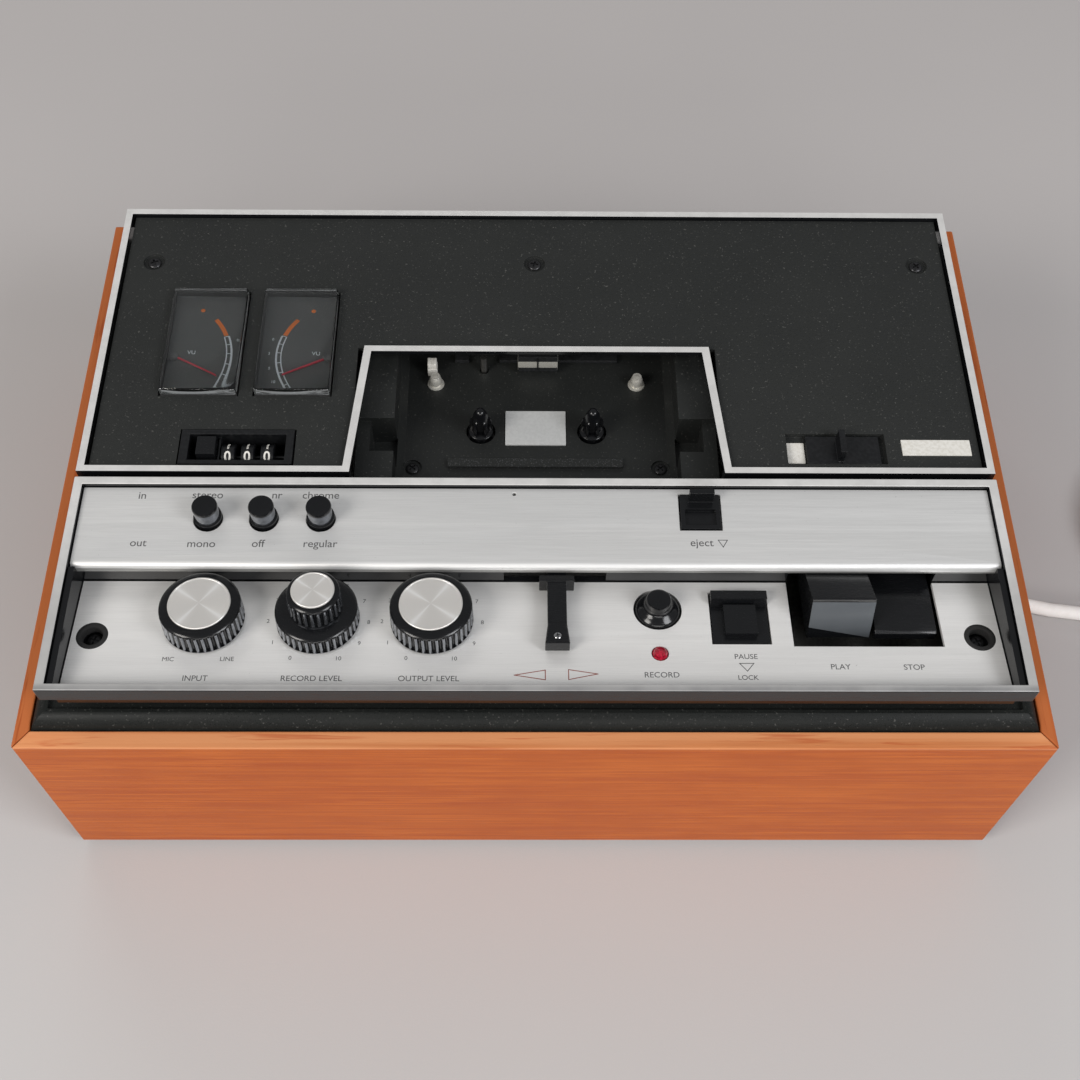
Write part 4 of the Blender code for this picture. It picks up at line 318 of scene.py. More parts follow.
TEAK_FRONT = wood("varnished_teak_across", "X",
                  ("#AC4E12", "#B65A19", "#C4682A", "#DE9868", "#B4502A"))
TEAK_SIDE = wood("varnished_teak_along", "Y",
                 ("#973C0C", "#A24711", "#AC5018", "#B8683A", "#8E3A18"))
BRUSHED = brushed("brushed_anodised_aluminium", "#DFDFDE", "#D7D7D6", 0.46)
# Painted light: the sloping panel gets a paler copy of the aluminium, for the front lamp's
# reflection on its slope
LIT_PANEL_ALUMINIUM = brushed("brushed_aluminium_panel_painted_light", "#F6F5F3", "#EFEEEC", 0.46)
# Painted shade: the strip's bent lip gets a darker copy of the aluminium
SHADED_LIP = brushed("brushed_aluminium_lip_painted_shade", "#9C9C9A", "#8E8E8C", 0.5)
RAIL = frame_metal("satin_aluminium_rail")
GLOSS = gloss_black("polished_black_abs")
KEY = gloss_black("moulded_black_key_abs", "#101113", 0.24, 0.2)
# Painted reflection: a pale grey copy of the black key plastic, for the front lamp seen in a key's
# front face
REFLECTING_KEY_FACE = gloss_black("black_key_abs_painted_reflection", "#585C60", 0.32, 0.1)
KNOB = gloss_black("fluted_black_knob_abs", "#0C0D0F", 0.18, 0.2)
LEATHER = grained_black("grained_black_vinyl_panel")
TRAY = grained_black("fine_textured_black_abs", "#050607", 2.6, 0.01, 0.3, 0.14)
WELL = grained_black("fine_textured_black_well_abs", "#0A0B0C", 3.0, 0.015, 0.4)
SATIN = plain("satin_black_polycarbonate", "#0D0E10", "#161719", 0.34)
FACE = plain("matt_grey_meter_paint", "#616162", "#6A6A6A", 0.7, scale=1.5)
METER_CASE = plain("moulded_grey_meter_case", "#262626", "#303030", 0.55)
WHITE = plain("white_abs", "#DEDCD6", "#CFCCC4", 0.42, coat=0.2)
PRINT_WHITE = plain("white_screen_ink", "#E6E4DE", "#D6D3CB", 0.6, scale=3.0)
PRINT_BLACK = plain("grey_screen_ink", "#4A4A4B", "#5A5A5B", 0.6, scale=3.0)
PRINT_RED = plain("brown_red_screen_ink", "#8A3A26", "#7A3020", 0.6, scale=3.0)
PRINT_METER = plain("pale_blue_dial_ink", "#F4F8FF", "#E6ECF6", 0.6, scale=3.0)
PRINT_ORANGE = plain("orange_screen_ink", "#FF8A38", "#FA7C2C", 0.6, scale=3.0)
STEEL = plain("zinc_plated_steel", "#A9A8A4", "#8F8E8A", 0.38, 1.0)
CHROME = plain("chrome_plated_steel", "#C9C9CA", "#B5B5B7", 0.14, 1.0, depth=0.002)
NICKEL = plain("satin_nickel_plating", "#DEDCD4", "#CFCCC2", 0.3, 0.55)
DUSTY = grained_black("dusty_black_abs", "#47484A", 1.4, 0.05, 0.6)
BRASS = plain("turned_brass", "#E0CF9A", "#CDB679", 0.3, 0.7)
BLACK_STEEL = plain("black_oxide_steel", "#2A2A2B", "#38383A", 0.3, 0.6)
RIB = plain("polished_chrome_rib", "#94979C", "#7E8187", 0.12, 0.85, depth=0.002)
DARK_CHROME = plain("dark_chrome_plating", "#75787E", "#63666B", 0.13, 0.9, depth=0.002)
NEEDLE = plain("red_needle_enamel", "#E2485A", "#D63C4E", 0.45, scale=2.0)
ENAMEL = plain("black_enamelled_steel", "#1A1B1C", "#252628", 0.4, scale=1.2, depth=0.03)
RUBBER = plain("black_rubber", "#191919", "#242323", 0.85, scale=1.5, depth=0.02)
PHENOLIC = plain("green_phenolic_board", "#1F4A30", "#2B5A38", 0.5)
CORE = plain("varnished_core_steel", "#3B3A38", "#4A4743", 0.5, 0.6)
CORD_VINYL = plain("white_cord_vinyl", "#FDFCF9", "#F8F6F2", 0.5, scale=0.4, depth=0.015)
PLUG_VINYL = plain("white_plug_vinyl", "#D9D6CD", "#CBC7BC", 0.45, scale=0.6, depth=0.02)
WINDOW = plain("smoked_grey_acrylic", "#C4C5C4", "#BCBDBC", 0.2, coat=0.5)


def clear(name, rough=0.03):
    """Clear moulded acrylic with faint wiping marks."""
    look = Look(name, rough)
    marks = look.span(look.noise(1.2, 4, 0.7, 0.0, (0.2, 2.0, 1.0)), 0.5, 0.8, rough, rough + 0.1)
    haze = look.noise(0.05, 3)
    look.put(Base_Color=look.mix(haze, "#F4F6F5", "#E6EAE8"), Roughness=marks)
    look.put(Transmission_Weight=1.0, IOR=1.49)
    return look.mat


LENS = clear("clear_moulded_acrylic")


# Shaping

# Faces that meet at angles between these two belong to one curve
FLAT_ANGLE = math.radians(0.6)
CURVE_ANGLE = math.radians(34)


def flatness(mesh):
    """Marks each face that meets another at a slight angle as smooth, and the rest flat."""
    def key(index):
        """A corner's place to 5 micrometres, as the faces don't share corners."""
        return tuple(round(c * 2e5) for c in mesh.vertices[index].co)
    sharing = {}
    for face in mesh.polygons:
        corners = [key(v) for v in face.vertices]
        for a, b in zip(corners, corners[1:] + corners[:1]):
            sharing.setdefault(frozenset((a, b)), []).append(face.index)
    smooth = set()
    for pair in sharing.values():
        for a in pair:
            for b in pair:
                if a != b:
                    angle = mesh.polygons[a].normal.angle(mesh.polygons[b].normal, 0.0)
                    if FLAT_ANGLE < angle < CURVE_ANGLE:
                        smooth.add(a)
    for face in mesh.polygons:
        face.use_smooth = face.index in smooth


def paint(node, material, bevel=0.0, others=()):
    """Finishes a solid of the model: a material, others where a test of a face's
    centre in deck millimetres holds, and slightly rounded edges."""
    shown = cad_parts[node]
    mesh = shown.data
    mesh.materials.clear()
    for item in [material] + [mat for mat, _ in others]:
        mesh.materials.append(item)
    back = DECK.inverted()
    for face in mesh.polygons:
        face.material_index = 0
        middle = back @ (face.center * 1000)
        for index, (_, test) in enumerate(others):
            if test(*middle):
                face.material_index = index + 1
    if bevel:
        if mesh.attributes.get("custom_normal"):
            mesh.attributes.remove(mesh.attributes["custom_normal"])
        flatness(mesh)
        weld = shown.modifiers.new("weld", "WELD")
        weld.merge_threshold = 0.00001
        edge = shown.modifiers.new("soft_edges", "BEVEL")
        edge.width = bevel / 1000
        edge.segments = 2
        edge.limit_method = "ANGLE"
        edge.angle_limit = CURVE_ANGLE


def finish_mesh(name, bm, angle=32):
    """A mesh of the shape, smooth where its faces meet at less than the angle."""
    bmesh.ops.remove_doubles(bm, verts=bm.verts, dist=0.0005)
    bmesh.ops.recalc_face_normals(bm, faces=bm.faces)
    mesh = bpy.data.meshes.new(name)
    bm.to_mesh(mesh)
    bm.free()
    mesh.shade_smooth()
    mesh.set_sharp_from_angle(angle=math.radians(angle))
    return mesh


def piece(name, mesh, materials, body="case", at=None, base=DECK, nodes=()):
    """A shown piece. With a place it keeps its own axes there, for round patterns."""
    for item in materials if isinstance(materials, (list, tuple)) else [materials]:
        mesh.materials.append(item)
    shown = added(name, mesh)
    if at is None:
        mesh.transform(MM @ base)
    else:
        mesh.transform(MM)
        spot = base @ Matrix.Translation(at)
        spot.translation *= 0.001
        shown.matrix_world = spot
    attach(shown, body)
    if nodes:
        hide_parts(*nodes)
    return shown


def lathe(name, profile, segments=64, ripple=None, angle=32):
    """A turned shape from (radius, height) down its outer side. ripple(radius,
    height, angle) may change the radius."""
    bm = bmesh.new()
    rings = []
    for radius, height in profile:
        if radius < 1e-6:
            rings.append([bm.verts.new((0, 0, height))])
            continue
        ring = []
        for step in range(segments):
            turn = 2 * math.pi * step / segments
            far = ripple(radius, height, turn) if ripple else radius
            ring.append(bm.verts.new((*around((0, 0), far, turn), height)))
        rings.append(ring)
    for upper, lower in zip(rings, rings[1:]):
        for step in range(segments):
            after = (step + 1) % segments
            corners = [upper[step % len(upper)], lower[step % len(lower)],
                       lower[after % len(lower)], upper[after % len(upper)]]
            unique = list(dict.fromkeys(corners))
            if len(unique) > 2:
                bm.faces.new(unique)
    return finish_mesh(name, bm, angle)


def soften(bm, width, segments=3):
    """Rounds the edges of a shape that turn by over 30 degrees."""
    if width:
        edges = [e for e in bm.edges if e.is_manifold and e.calc_face_angle(0) > math.pi / 6]
        bmesh.ops.bevel(bm, geom=edges, offset=width, segments=segments, profile=0.5,
                        affect="EDGES", clamp_overlap=True)
    return bm


def block(xs, ys, zs, width=0.3, segments=3):
    """A box with rounded edges, to build shapes from."""
    bm = bmesh.new()
    bmesh.ops.create_cube(bm, size=1.0)
    spans = (xs, ys, zs)
    bmesh.ops.scale(bm, vec=[high - low for low, high in spans], verts=bm.verts)
    bmesh.ops.translate(bm, vec=[(low + high) / 2 for low, high in spans], verts=bm.verts)
    return soften(bm, width, segments)


def slab(loop, low, high, width=0.0, segments=2):
    """A flat outline in the drawing plane, thickened from low to high."""
    bm = bmesh.new()
    lower = [bm.verts.new((x, y, low)) for x, y in loop]
    upper = [bm.verts.new((x, y, high)) for x, y in loop]
    bm.faces.new(list(reversed(lower)))
    bm.faces.new(upper)
    for step in range(len(loop)):
        after = (step + 1) % len(loop)
        bm.faces.new((lower[step], lower[after], upper[after], upper[step]))
    bmesh.ops.recalc_face_normals(bm, faces=bm.faces)
    return soften(bm, width, segments)


def extruded(profile, xs, width=0.3, segments=3):
    """An outline of (y, z) points drawn out between two X positions."""
    bm = slab(profile, *xs, width, segments)
    bm.transform(Matrix(((0, 0, 1, 0), (1, 0, 0, 0), (0, 1, 0, 0), (0, 0, 0, 1))))
    return bm


def joined(*parts):
    """Several shapes put into one; they are used up."""
    whole = bmesh.new()
    for part in parts:
        if not isinstance(part, bpy.types.Mesh):
            scratch = bpy.data.meshes.new("scratch")
            part.to_mesh(scratch)
            part.free()
            part = scratch
        whole.from_mesh(part)
        bpy.data.meshes.remove(part)
    return whole


def arc(middle, radius, start, end, half, steps=24):
    """The outline of a flat band along an arc."""
    turns = [start + (end - start) * i / steps for i in range(steps + 1)]
    return ([around(middle, radius + half, t) for t in turns]
            + [around(middle, radius - half, t) for t in reversed(turns)])


def evaluated(holder):
    """The mesh that an object shows."""
    bpy.context.view_layer.update()
    seen = holder.evaluated_get(bpy.context.evaluated_depsgraph_get())
    return bpy.data.meshes.new_from_object(seen)


def lettering(text, size, at, low=0.0, high=0.03, bold=0.0):
    """Printed figures, centred on a point of the drawing plane."""
    drawn = bpy.data.curves.new("figures", "FONT")
    drawn.body = text
    drawn.size = size
    drawn.align_x = drawn.align_y = "CENTER"
    drawn.extrude = (high - low) / 2
    drawn.offset = bold
    holder = added("figures", drawn)
    mesh = evaluated(holder)
    bpy.data.objects.remove(holder)
    bm = bmesh.new()
    bm.from_mesh(mesh)
    bpy.data.meshes.remove(mesh)
    bm.transform(Matrix.Translation((*at, (low + high) / 2)))
    return bm


# Floor and light
bm = bmesh.new()
bmesh.ops.create_grid(bm, x_segments=2, y_segments=2, size=3.0)
floor = added("floor", finish_mesh("floor", bm))
paper = Look("pale_grey_card", 0.8)
tone = paper.noise(0.004, 3, 0.5)
fibre = paper.noise(1.2, 4, 0.6)
# Painted light and shade: the card is painted paler towards the front, nearer the lamps, and
# darker towards the back
near = paper.span(paper.axis("Y"), 250.0, -300.0)
shaded_far_tone = paper.mix(tone, "#B2AEAD", "#B8B4B3")
paper.put(Base_Color=paper.mix(near, shaded_far_tone, paper.mix(tone, "#BAB9B9", "#BEBDBC")))
paper.put(Roughness=paper.span(fibre, 0.3, 0.7, 0.75, 0.9)).bump(fibre, 0.03)
floor.data.materials.append(paper.mat)


def softbox(name, at, aim, size, power, tint):
    """A diffused lamp on the stage, aimed at a point. World metres."""
    lamp = bpy.data.lights.new(name, "AREA")
    lamp.shape = "RECTANGLE"
    lamp.size, lamp.size_y = size
    lamp.energy = power
    lamp.color = linear(tint)[:3]
    holder = added(name, lamp)
    holder.location = at
    holder.rotation_euler = (Vector(aim) - Vector(at)).to_track_quat("-Z", "Y").to_euler()
    holder.visible_transmission = False


softbox("left_light", (-1.3, -1.0, 1.4), (0, 0, 0.1), (0.8, 0.8), 23.0, "#FFFBF6")
softbox("right_light", (1.3, -0.9, 1.4), (0, 0, 0.1), (0.8, 0.8), 20.0, "#FBFCFF")
softbox("front_light", (0.1, -1.7, 0.9), (0, -0.1, 0.05), (1.6, 0.5), 9.0, "#FFFDFA")
softbox("back_light", (-0.5, 1.5, 1.5), (0, 0.1, 0.1), (1.2, 0.5), 7.0, "#FFFDFA")
bpy.data.objects["back_light"].visible_glossy = False
room = bpy.data.worlds.new("room")
room.use_nodes = True
sky = room.node_tree.nodes["Background"]
sky.inputs["Color"].default_value = linear("#F1F2F4")
sky.inputs["Strength"].default_value = 0.3
bpy.context.scene.world = room
bpy.context.scene.view_settings.view_transform = "Standard"


# Mains cord, repeating the route of the model
CORD_RADIUS = 0.003
CORD_FLOOR = CORD_RADIUS + 0.0001
RELIEF_AT = (0.118, 0.038)
ROUTE = ((0.118, 0.2583), (0.1183, 0.274), (0.121, 0.292), (0.128, 0.309), (0.141, 0.323),
         (0.158, 0.329), (0.178, 0.322), (0.193, 0.303), (0.199, 0.276), (0.197, 0.246),
         (0.1915, 0.215), (0.1887, 0.187), (0.1885, 0.160), (0.1892, 0.136),
         (0.1975, 0.1168), (0.2150, 0.1068), (0.2385, 0.1028), (0.264, 0.0985))
SHARES = (1.0, 0.98, 0.76, 0.34, 0.06)
COIL_CENTRE = (0.300, 0.141)
COIL_OUTER = 0.045
COIL_TURNS = 6
COIL_STEPS = 24
COIL_PITCH = 0.0068
COIL_LAYER = 0.0066
COIL_LEAD_IN = 0.0063
COIL_TAIL = 0.0423
ROUTE_STEPS = 24
ROUTE_POINTS = 38


def cord_route():
    """The line of the free cord, then of the coil: in to the middle, and out again
    one layer higher. World metres."""
    rise = RELIEF_AT[1] + 0.005 - CORD_FLOOR
    shares = SHARES + (0.0,) * (len(ROUTE) - len(SHARES))
    start = (COIL_CENTRE[0], COIL_CENTRE[1] - COIL_OUTER)
    shift = HALF_DEPTH / 1000
    middle = (COIL_CENTRE[0], COIL_CENTRE[1] - shift)
    knots = [Vector((x, y - shift, CORD_FLOOR + share * rise))
             for (x, y), share in zip(ROUTE, shares)]
    knots.append(Vector((start[0] - COIL_LEAD_IN, start[1] - shift, CORD_FLOOR)))
    ends = [2 * knots[0] - knots[1]] + knots + [2 * knots[-1] - knots[-2]]
    ends[0].z = knots[0].z
    ends[-1].y = knots[-1].y
    fine = []
    for a, b, c, d in zip(ends, ends[1:], ends[2:], ends[3:]):
        for step in range(ROUTE_STEPS):
            t = step / ROUTE_STEPS
            point = (2 * b + (c - a) * t + (2 * a - 5 * b + 4 * c - d) * t ** 2
                     + (3 * b - a - 3 * c + d) * t ** 3) / 2
            point.z = max(point.z, CORD_FLOOR)
            fine.append(point)
    fine.append(knots[-1])
    lengths = [0.0]
    for a, b in zip(fine, fine[1:]):
        lengths.append(lengths[-1] + (b - a).length)
    points = []
    index = 0
    for step in range(ROUTE_POINTS + 1):
        wanted = lengths[-1] * step / ROUTE_POINTS
        while index < len(fine) - 2 and lengths[index + 1] < wanted:
            index += 1
        span = lengths[index + 1] - lengths[index]
        points.append(fine[index].lerp(fine[index + 1], (wanted - lengths[index]) / span))
    for step in range(COIL_TURNS * COIL_STEPS + 1):
        turns = step / COIL_STEPS
        radius = COIL_OUTER - COIL_PITCH * min(turns, COIL_TURNS - turns)
        climb = min(max(turns - COIL_TURNS / 2 + 0.25, 0.0), 0.5) / 0.5
        angle = 2 * math.pi * turns - math.pi / 2
        points.append(Vector((*around(middle, radius, angle), CORD_FLOOR + COIL_LAYER * climb)))
    points.append(Vector((start[0] + COIL_TAIL, start[1] - shift, CORD_FLOOR + COIL_LAYER)))
    return points


def mains_cord():
    """The cord as one round lead, with its points and its length."""
    points = cord_route()
    curve = bpy.data.curves.new("mains_lead", "CURVE")
    curve.dimensions = "3D"
    curve.bevel_depth = CORD_RADIUS
    curve.bevel_resolution = 6
    curve.use_fill_caps = True
    spline = curve.splines.new("POLY")
    spline.points.add(len(points) - 1)
    for target, point in zip(spline.points, points):
        target.co = (*point, 1)
    spline.use_smooth = True
    curve.materials.append(CORD_VINYL)
    lead = added("mains_lead", curve)
    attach(lead, "case")
    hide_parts("mains_cord", "cord_coil")
    length = sum((b - a).length for a, b in zip(points, points[1:]))
    return lead, points, length


lead, lead_points, lead_length = mains_cord()
boot = lathe("cord_boot", ((0.0, 258.0), (3.05, 258.0), (4.4, 257.6), (4.7, 257.0), (5.0, 252.0),
                           (4.4, 251.6), (4.5, 250.4), (5.2, 250.0), (5.4, 246.0), (4.8, 245.6),
                           (4.9, 244.4), (5.7, 244.0), (5.9, 240.0), (5.3, 239.6), (5.4, 238.4),
                           (6.2, 238.0), (6.6, 231.4), (7.2, 230.6), (8.6, 230.0), (8.8, 229.6),
                           (8.8, 228.4), (5.7, 228.3), (5.7, 218.0), (0.0, 218.0)))
boot.transform(Matrix.Translation((1000 * RELIEF_AT[0], 0, 1000 * RELIEF_AT[1])) @ FACING_BACK)
boot = piece("cord_boot", boot, RUBBER, nodes=["strain_relief"])


# The plug: a rounded grip with four ribs on each face, and two blades
PLUG_Y, PLUG_Z = 96, 4.7
body = block((336.6, 370.0), (PLUG_Y - 11.9, PLUG_Y + 11.9), (PLUG_Z - 9.4, PLUG_Z + 9.4),
             3.0, 4)
for side in (-1, 1):
    for step in range(4):
        x = 345.0 + 5.2 * step
        rib = block((x, x + 2.2), (PLUG_Y - 8, PLUG_Y + 8), (-0.5, 0.5), 0.45, 2)
        rib.transform(Matrix.Translation((0, 0, PLUG_Z + side * 9.2)))
        body = joined(body, rib)
blades = joined(*[block((367.0, 387.0), (y - 0.75, y + 0.75), (PLUG_Z - 3.15, PLUG_Z + 3.15),
                        0.3, 2) for y in (PLUG_Y - 6.35, PLUG_Y + 6.35)])
plug = piece("plug_grip", finish_mesh("plug_grip", body), PLUG_VINYL, nodes=["mains_plug"])
blades = piece("plug_blades", finish_mesh("plug_blades", blades), BRASS)

# Solids whose own shape shows, by material and bevel in millimetres
for material, bevel, solids in (
        (TEAK_FRONT, 0.5, "case_front"), (TEAK_SIDE, 0.5, "case_left case_right"),
        (ENAMEL, 0.3, "back_panel"), (ENAMEL, 0.2, "head_bridge"), (TRAY, 0.35, "deck_tray"),
        (LIT_PANEL_ALUMINIUM, 0.25, "control_panel"), (GLOSS, 0.2, "panel_riser"), (WINDOW, 0.2, "well_window"),
        (WHITE, 0.15, "power_flag"), (STEEL, 0, "chassis flywheel motor"),
        (BRASS, 0, "motor_pulley"), (RUBBER, 0, "pinch_roller drive_belt"),
        (CORE, 0.4, "transformer"), (PHENOLIC, 0, "main_board control_board"),
        (KEY, 0.25, "eject_key"), (KEY, 0.3, "pause_key counter_reset"),
        (KEY, 0.35, "wind_lever stop_key"), (SATIN, 0.25, "power_slider counter_body"),
        (LENS, 0.25, "vu_lens_left vu_lens_right")):
    for node in solids.split():
        paint(node, material, bevel)
# Solids of more than one finish: feet, sockets, walls of the rims, the strip's lip in painted
# shade, the blank model plate, the well's pins, bar and guide, a key's front face in a painted
# reflection, the meters' ground
paint("base_plate", ENAMEL, 0.0, [(RUBBER, lambda x, y, z: z < 1.9)])
paint("socket_strip", STEEL, 0.0, [(SATIN, lambda x, y, z: y < 227.0 or x < 0)])
paint("bezel_frame", RAIL, 0.4, [(GLOSS, lambda x, y, z: z < 119.2 and abs(x) < 163.9)])
# The lip's bend and front face below the strip are painted darker as shade
paint("button_panel", BRUSHED, 0.2, [(SHADED_LIP, lambda x, y, z: z < 116.0 and y < 57)])
paint("cover_panel", LEATHER, 0.35,
      [(WHITE, lambda x, y, z: z > 118.05 and 131 < x < 159 and 102 < y < 111)])
paint("cassette_well", WELL, 0.3, [
    (NICKEL, lambda x, y, z: z > WELL_FLOOR + 0.1
     and abs(abs(x) - PIN_AT[0]) < 2.6 and abs(y - PIN_AT[1]) < 2.6),
    (DUSTY, lambda x, y, z: 0.2 < z - WELL_FLOOR < 4 and abs(x) < 34 and y < 122),
    (WHITE, lambda x, y, z: z > WELL_FLOOR + 0.1
     and GUIDE[0][0] < x < GUIDE[0][1] and GUIDE[1][0] < y < GUIDE[1][1])])
# The play key's sloping front face is painted pale grey as a reflection of the front lamp
paint("play_key", KEY, 0.4, [
    (REFLECTING_KEY_FACE, lambda x, y, z: 93.5 < x < 114 and 36 < y < 41 and 108 < z < 119.5)])
paint("vu_bodies", METER_CASE, 0.2, [(FACE, lambda x, y, z: abs(z - 113.0) < 0.06)])


# Knobs: a black shoulder over plated flutes, and a spun aluminium cap

def spun(name):
    """Aluminium turned on its face: rings round the axis, with a crossed glint that is a painted
    highlight in its colour.
    """
    look = Look(name, 0.3, 0.6)
    made = look.node("ShaderNodeSeparateXYZ")
    look.link(look.where, made.inputs[0])
    squares = [look.math("POWER", made.outputs[axis], 2.0) for axis in "XY"]
    far = look.math("MULTIPLY", look.math("SQRT", look.math("ADD", *squares)), 1000.0)
    ring = look.node("ShaderNodeTexNoise", noise_dimensions="1D")
    look.link(look.math("MULTIPLY", far, 4.5), ring.inputs["W"])
    ring.inputs["Detail"].default_value = 4
    turn = look.math("ARCTAN2", made.outputs["Y"], made.outputs["X"])
    twice = look.math("MULTIPLY", look.math("ADD", turn, 0.62), 2.0)
    # Painted highlight: a broad sheen and narrow glint rays in a cross, laid into the colour
    cross = look.math("ABSOLUTE", look.math("COSINE", twice))
    glint = look.math("POWER", cross, 60.0)
    soft = look.math("POWER", cross, 8.0)
    tone = look.mix(look.span(ring.outputs["Fac"], 0.3, 0.7), "#E4E1DC", "#EAE7E3")
    tone = look.over(tone, "#F4F2EE", soft, 0.45)
    tone = look.over(tone, "#FFFEFC", glint, 0.9)
    look.put(Base_Color=tone, Roughness=look.span(ring.outputs["Fac"], 0.3, 0.7, 0.3, 0.42))
    tangent = look.node("ShaderNodeTangent", direction_type="RADIAL", axis="Z")
    look.put(Anisotropic=0.6, Tangent=tangent.outputs["Tangent"])
    look.bump(ring.outputs["Fac"], 0.004)
    return look.mat


SPUN = spun("spun_aluminium_cap_painted_glint")
KNOB_AT = 39.5


def fluted(count, depth, low, high):
    """Flutes down the side between two heights, with plated ribs between them."""
    def ripple(radius, height, angle):
        if not low <= height <= high:
            return radius
        return radius - depth * (0.5 - 0.5 * math.cos(count * angle))
    return ripple


def split_at(mesh, height, radius=0.0, low=-math.inf):
    """Gives the second material to the steep faces between two heights, outside a radius."""
    for face in mesh.polygons:
        if (low <= face.center.z < height and abs(face.normal.z) < 0.8
                and math.hypot(face.center.x, face.center.y) > radius):
            face.material_index = 1


def knob(name, x, radius, top, node, low=0.6, cap_radius=None, count=36, bore=0.0):
    """A round knob standing on the control panel: a black shoulder, plated flutes and,
    unless it has a bore, a spun cap on its top."""
    at = (x, panel_y(KNOB_AT), 0)
    sides = [(bore, top), (radius - 2.8, top), (radius - 2.6, top - 0.08),
             (radius - 1.2, top - 0.55), (radius - 0.6, top - 0.95), (radius - 0.35, top - 1.3),
             (radius - 0.25, top - 1.75), (radius - 0.05, low + 0.7), (radius - 0.15, low + 0.65),
             (radius - 0.3, low + 0.3), (radius - 0.45, low), (bore, low)]
    ripple = fluted(count, 0.9, low + 0.68, top - 1.72)
    mesh = lathe(name + "_grip", sides, 8 * count, ripple, 50)
    split_at(mesh, top - 1.72, radius - 0.45)
    piece(name + "_grip", mesh, [KNOB, RIB], node + "_body", at, PANEL, [node])
    if not bore:
        far = cap_radius or radius - 3.5
        face = lathe(name + "_cap", ((0, top + 0.42), (far - 0.7, top + 0.42),
                                     (far - 0.6, top + 0.5), (far - 0.3, top + 0.5),
                                     (far - 0.12, top + 0.4), (far, top + 0.2),
                                     (far, top - 0.2), (0, top - 0.2)), 96)
        piece(name + "_cap", face, SPUN, node + "_body", at, PANEL, ())


knob("input", -114.0, 14.1, 10.3, "input_knob")
knob("output", -36.1, 14.3, 10.3, "output_knob")
knob("record_outer", -75.0, 14.3, 8.7, "record_ring", bore=2.6)
knob("record_inner", -75.0, 9.3, 18.1, "record_knob", 8.9, cap_radius=7.3, count=24)

# Record button, lamp and push buttons
spot = (41.5, panel_y(44.5), 0)
piece("record_push", lathe("record_push", (
    (0, 6.8), (2.4, 6.78), (3.5, 6.65), (4.0, 6.4), (4.3, 5.9), (4.4, 5.2), (4.4, 3.7), (4.6, 2.9),
    (5.1, 2.25), (6.1, 1.5), (7.0, 0.85), (7.6, 0.2), (7.9, -0.8), (7.9, -6.0), (0, -6.0))),
    GLOSS, "record_button_body", spot, PANEL, ["record_button"])
ruby = Look("red_faceted_acrylic", 0.08)
speck = ruby.noise(1.5, 3)
ruby.put(Base_Color=ruby.mix(ruby.span(speck, 0.35, 0.65), "#8E0E22", "#D0213F"))
ruby.put(Transmission_Weight=0.25, Coat_Weight=0.6, Coat_Roughness=0.05)
piece("record_jewel", lathe("record_jewel", (
    (0, 1.6), (0.9, 1.35), (1.9, 0.85), (2.45, 0.1), (2.7, 0.0), (2.7, -4.0), (0, -4.0)),
    12, angle=4), ruby.mat, "case", (41.4, panel_y(26.6), 0), PANEL, ["record_lamp"])
for index, x in enumerate((-115.3, -95.8, -75.9)):
    name = f"mode_button_{index + 1}"
    mesh = lathe(name + "_push", (
        (0, 7.85), (2.6, 7.9), (3.6, 8.05), (3.95, 8.15), (4.2, 8.05), (4.4, 7.7), (4.45, 7.3),
        (4.45, 6.9), (4.3, 6.8), (4.3, 1.7), (4.9, 1.5), (4.9, -9.5), (0, -9.5)))
    split_at(mesh, 6.85, low=1.6)
    piece(name + "_push", mesh, [GLOSS, DARK_CHROME], name + "_body", (x, 75.8, STRIP_TOP),
          DECK, [name])

# Cover frame: its rails flare beside the cassette opening
RAIL_LOW, RAIL_TOP = [corner[2] * 1000 - BOARDS_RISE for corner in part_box("cover_frame")]
# It lies on the cover beside the opening, and hangs down in front of it
ON_COVER = 118.03
COVER_FRONT = 97.0


def mirrored(points):
    """A loop of (x, y, bottom) from its right half, front to back."""
    return points + [(-x, y, z) for x, y, z in reversed(points)]


def rail_loop(front_corner, back_corner, outer):
    """An edge of the rim round the opening's corners and the outer (x, front, back)."""
    slope = (back_corner[0] - front_corner[0]) / (back_corner[1] - front_corner[1])
    step = front_corner[0] + slope * (COVER_FRONT - front_corner[1])
    return mirrored([(*back_corner, ON_COVER), (step, COVER_FRONT, ON_COVER),
                     (step, COVER_FRONT - 0.05, RAIL_LOW), (*front_corner, RAIL_LOW),
                     (outer[0], outer[1], RAIL_LOW), (outer[0], outer[2], RAIL_LOW)])


outside = rail_loop((67.2, 94.3), (62.3, 149.0), (164.2, 94.3, 220.9))
inside = rail_loop((69.7, 96.8), (65.0, 151.6), (161.6, 96.8, 218.2))
ring = bmesh.new()
rows = [[ring.verts.new((x, y, RAIL_TOP if upper else z)) for x, y, z in loop]
        for loop, upper in ((outside, True), (inside, True), (inside, False), (outside, False))]
for one, two in zip(rows, rows[1:] + rows[:1]):
    for i in range(len(one)):
        j = (i + 1) % len(one)
        ring.faces.new((one[i], one[j], two[j], two[i]))
soften(ring, 0.35, 2)
rim = finish_mesh("cover_rim", ring)
for face in rim.polygons:
    if abs(face.normal.z) < 0.5 and abs(face.center.x) < 163.9 and face.center.y < 220.5:
        face.material_index = 1
piece("cover_rim", rim, [RAIL, GLOSS], nodes=["cover_frame"])

# Screws with a cross recess

def carved(mesh, tool, name):
    """The shape with a tool's volume cut out of it."""
    made = [added(name, mesh), added("tool", finish_mesh("tool", tool))]
    change = made[0].modifiers.new("cut", "BOOLEAN")
    change.operation = "DIFFERENCE"
    change.solver = "EXACT"
    change.object = made[1]
    result = evaluated(made[0])
    for holder in made:
        bpy.data.objects.remove(holder)
    result.shade_smooth()
    result.set_sharp_from_angle(angle=math.radians(32))
    return result


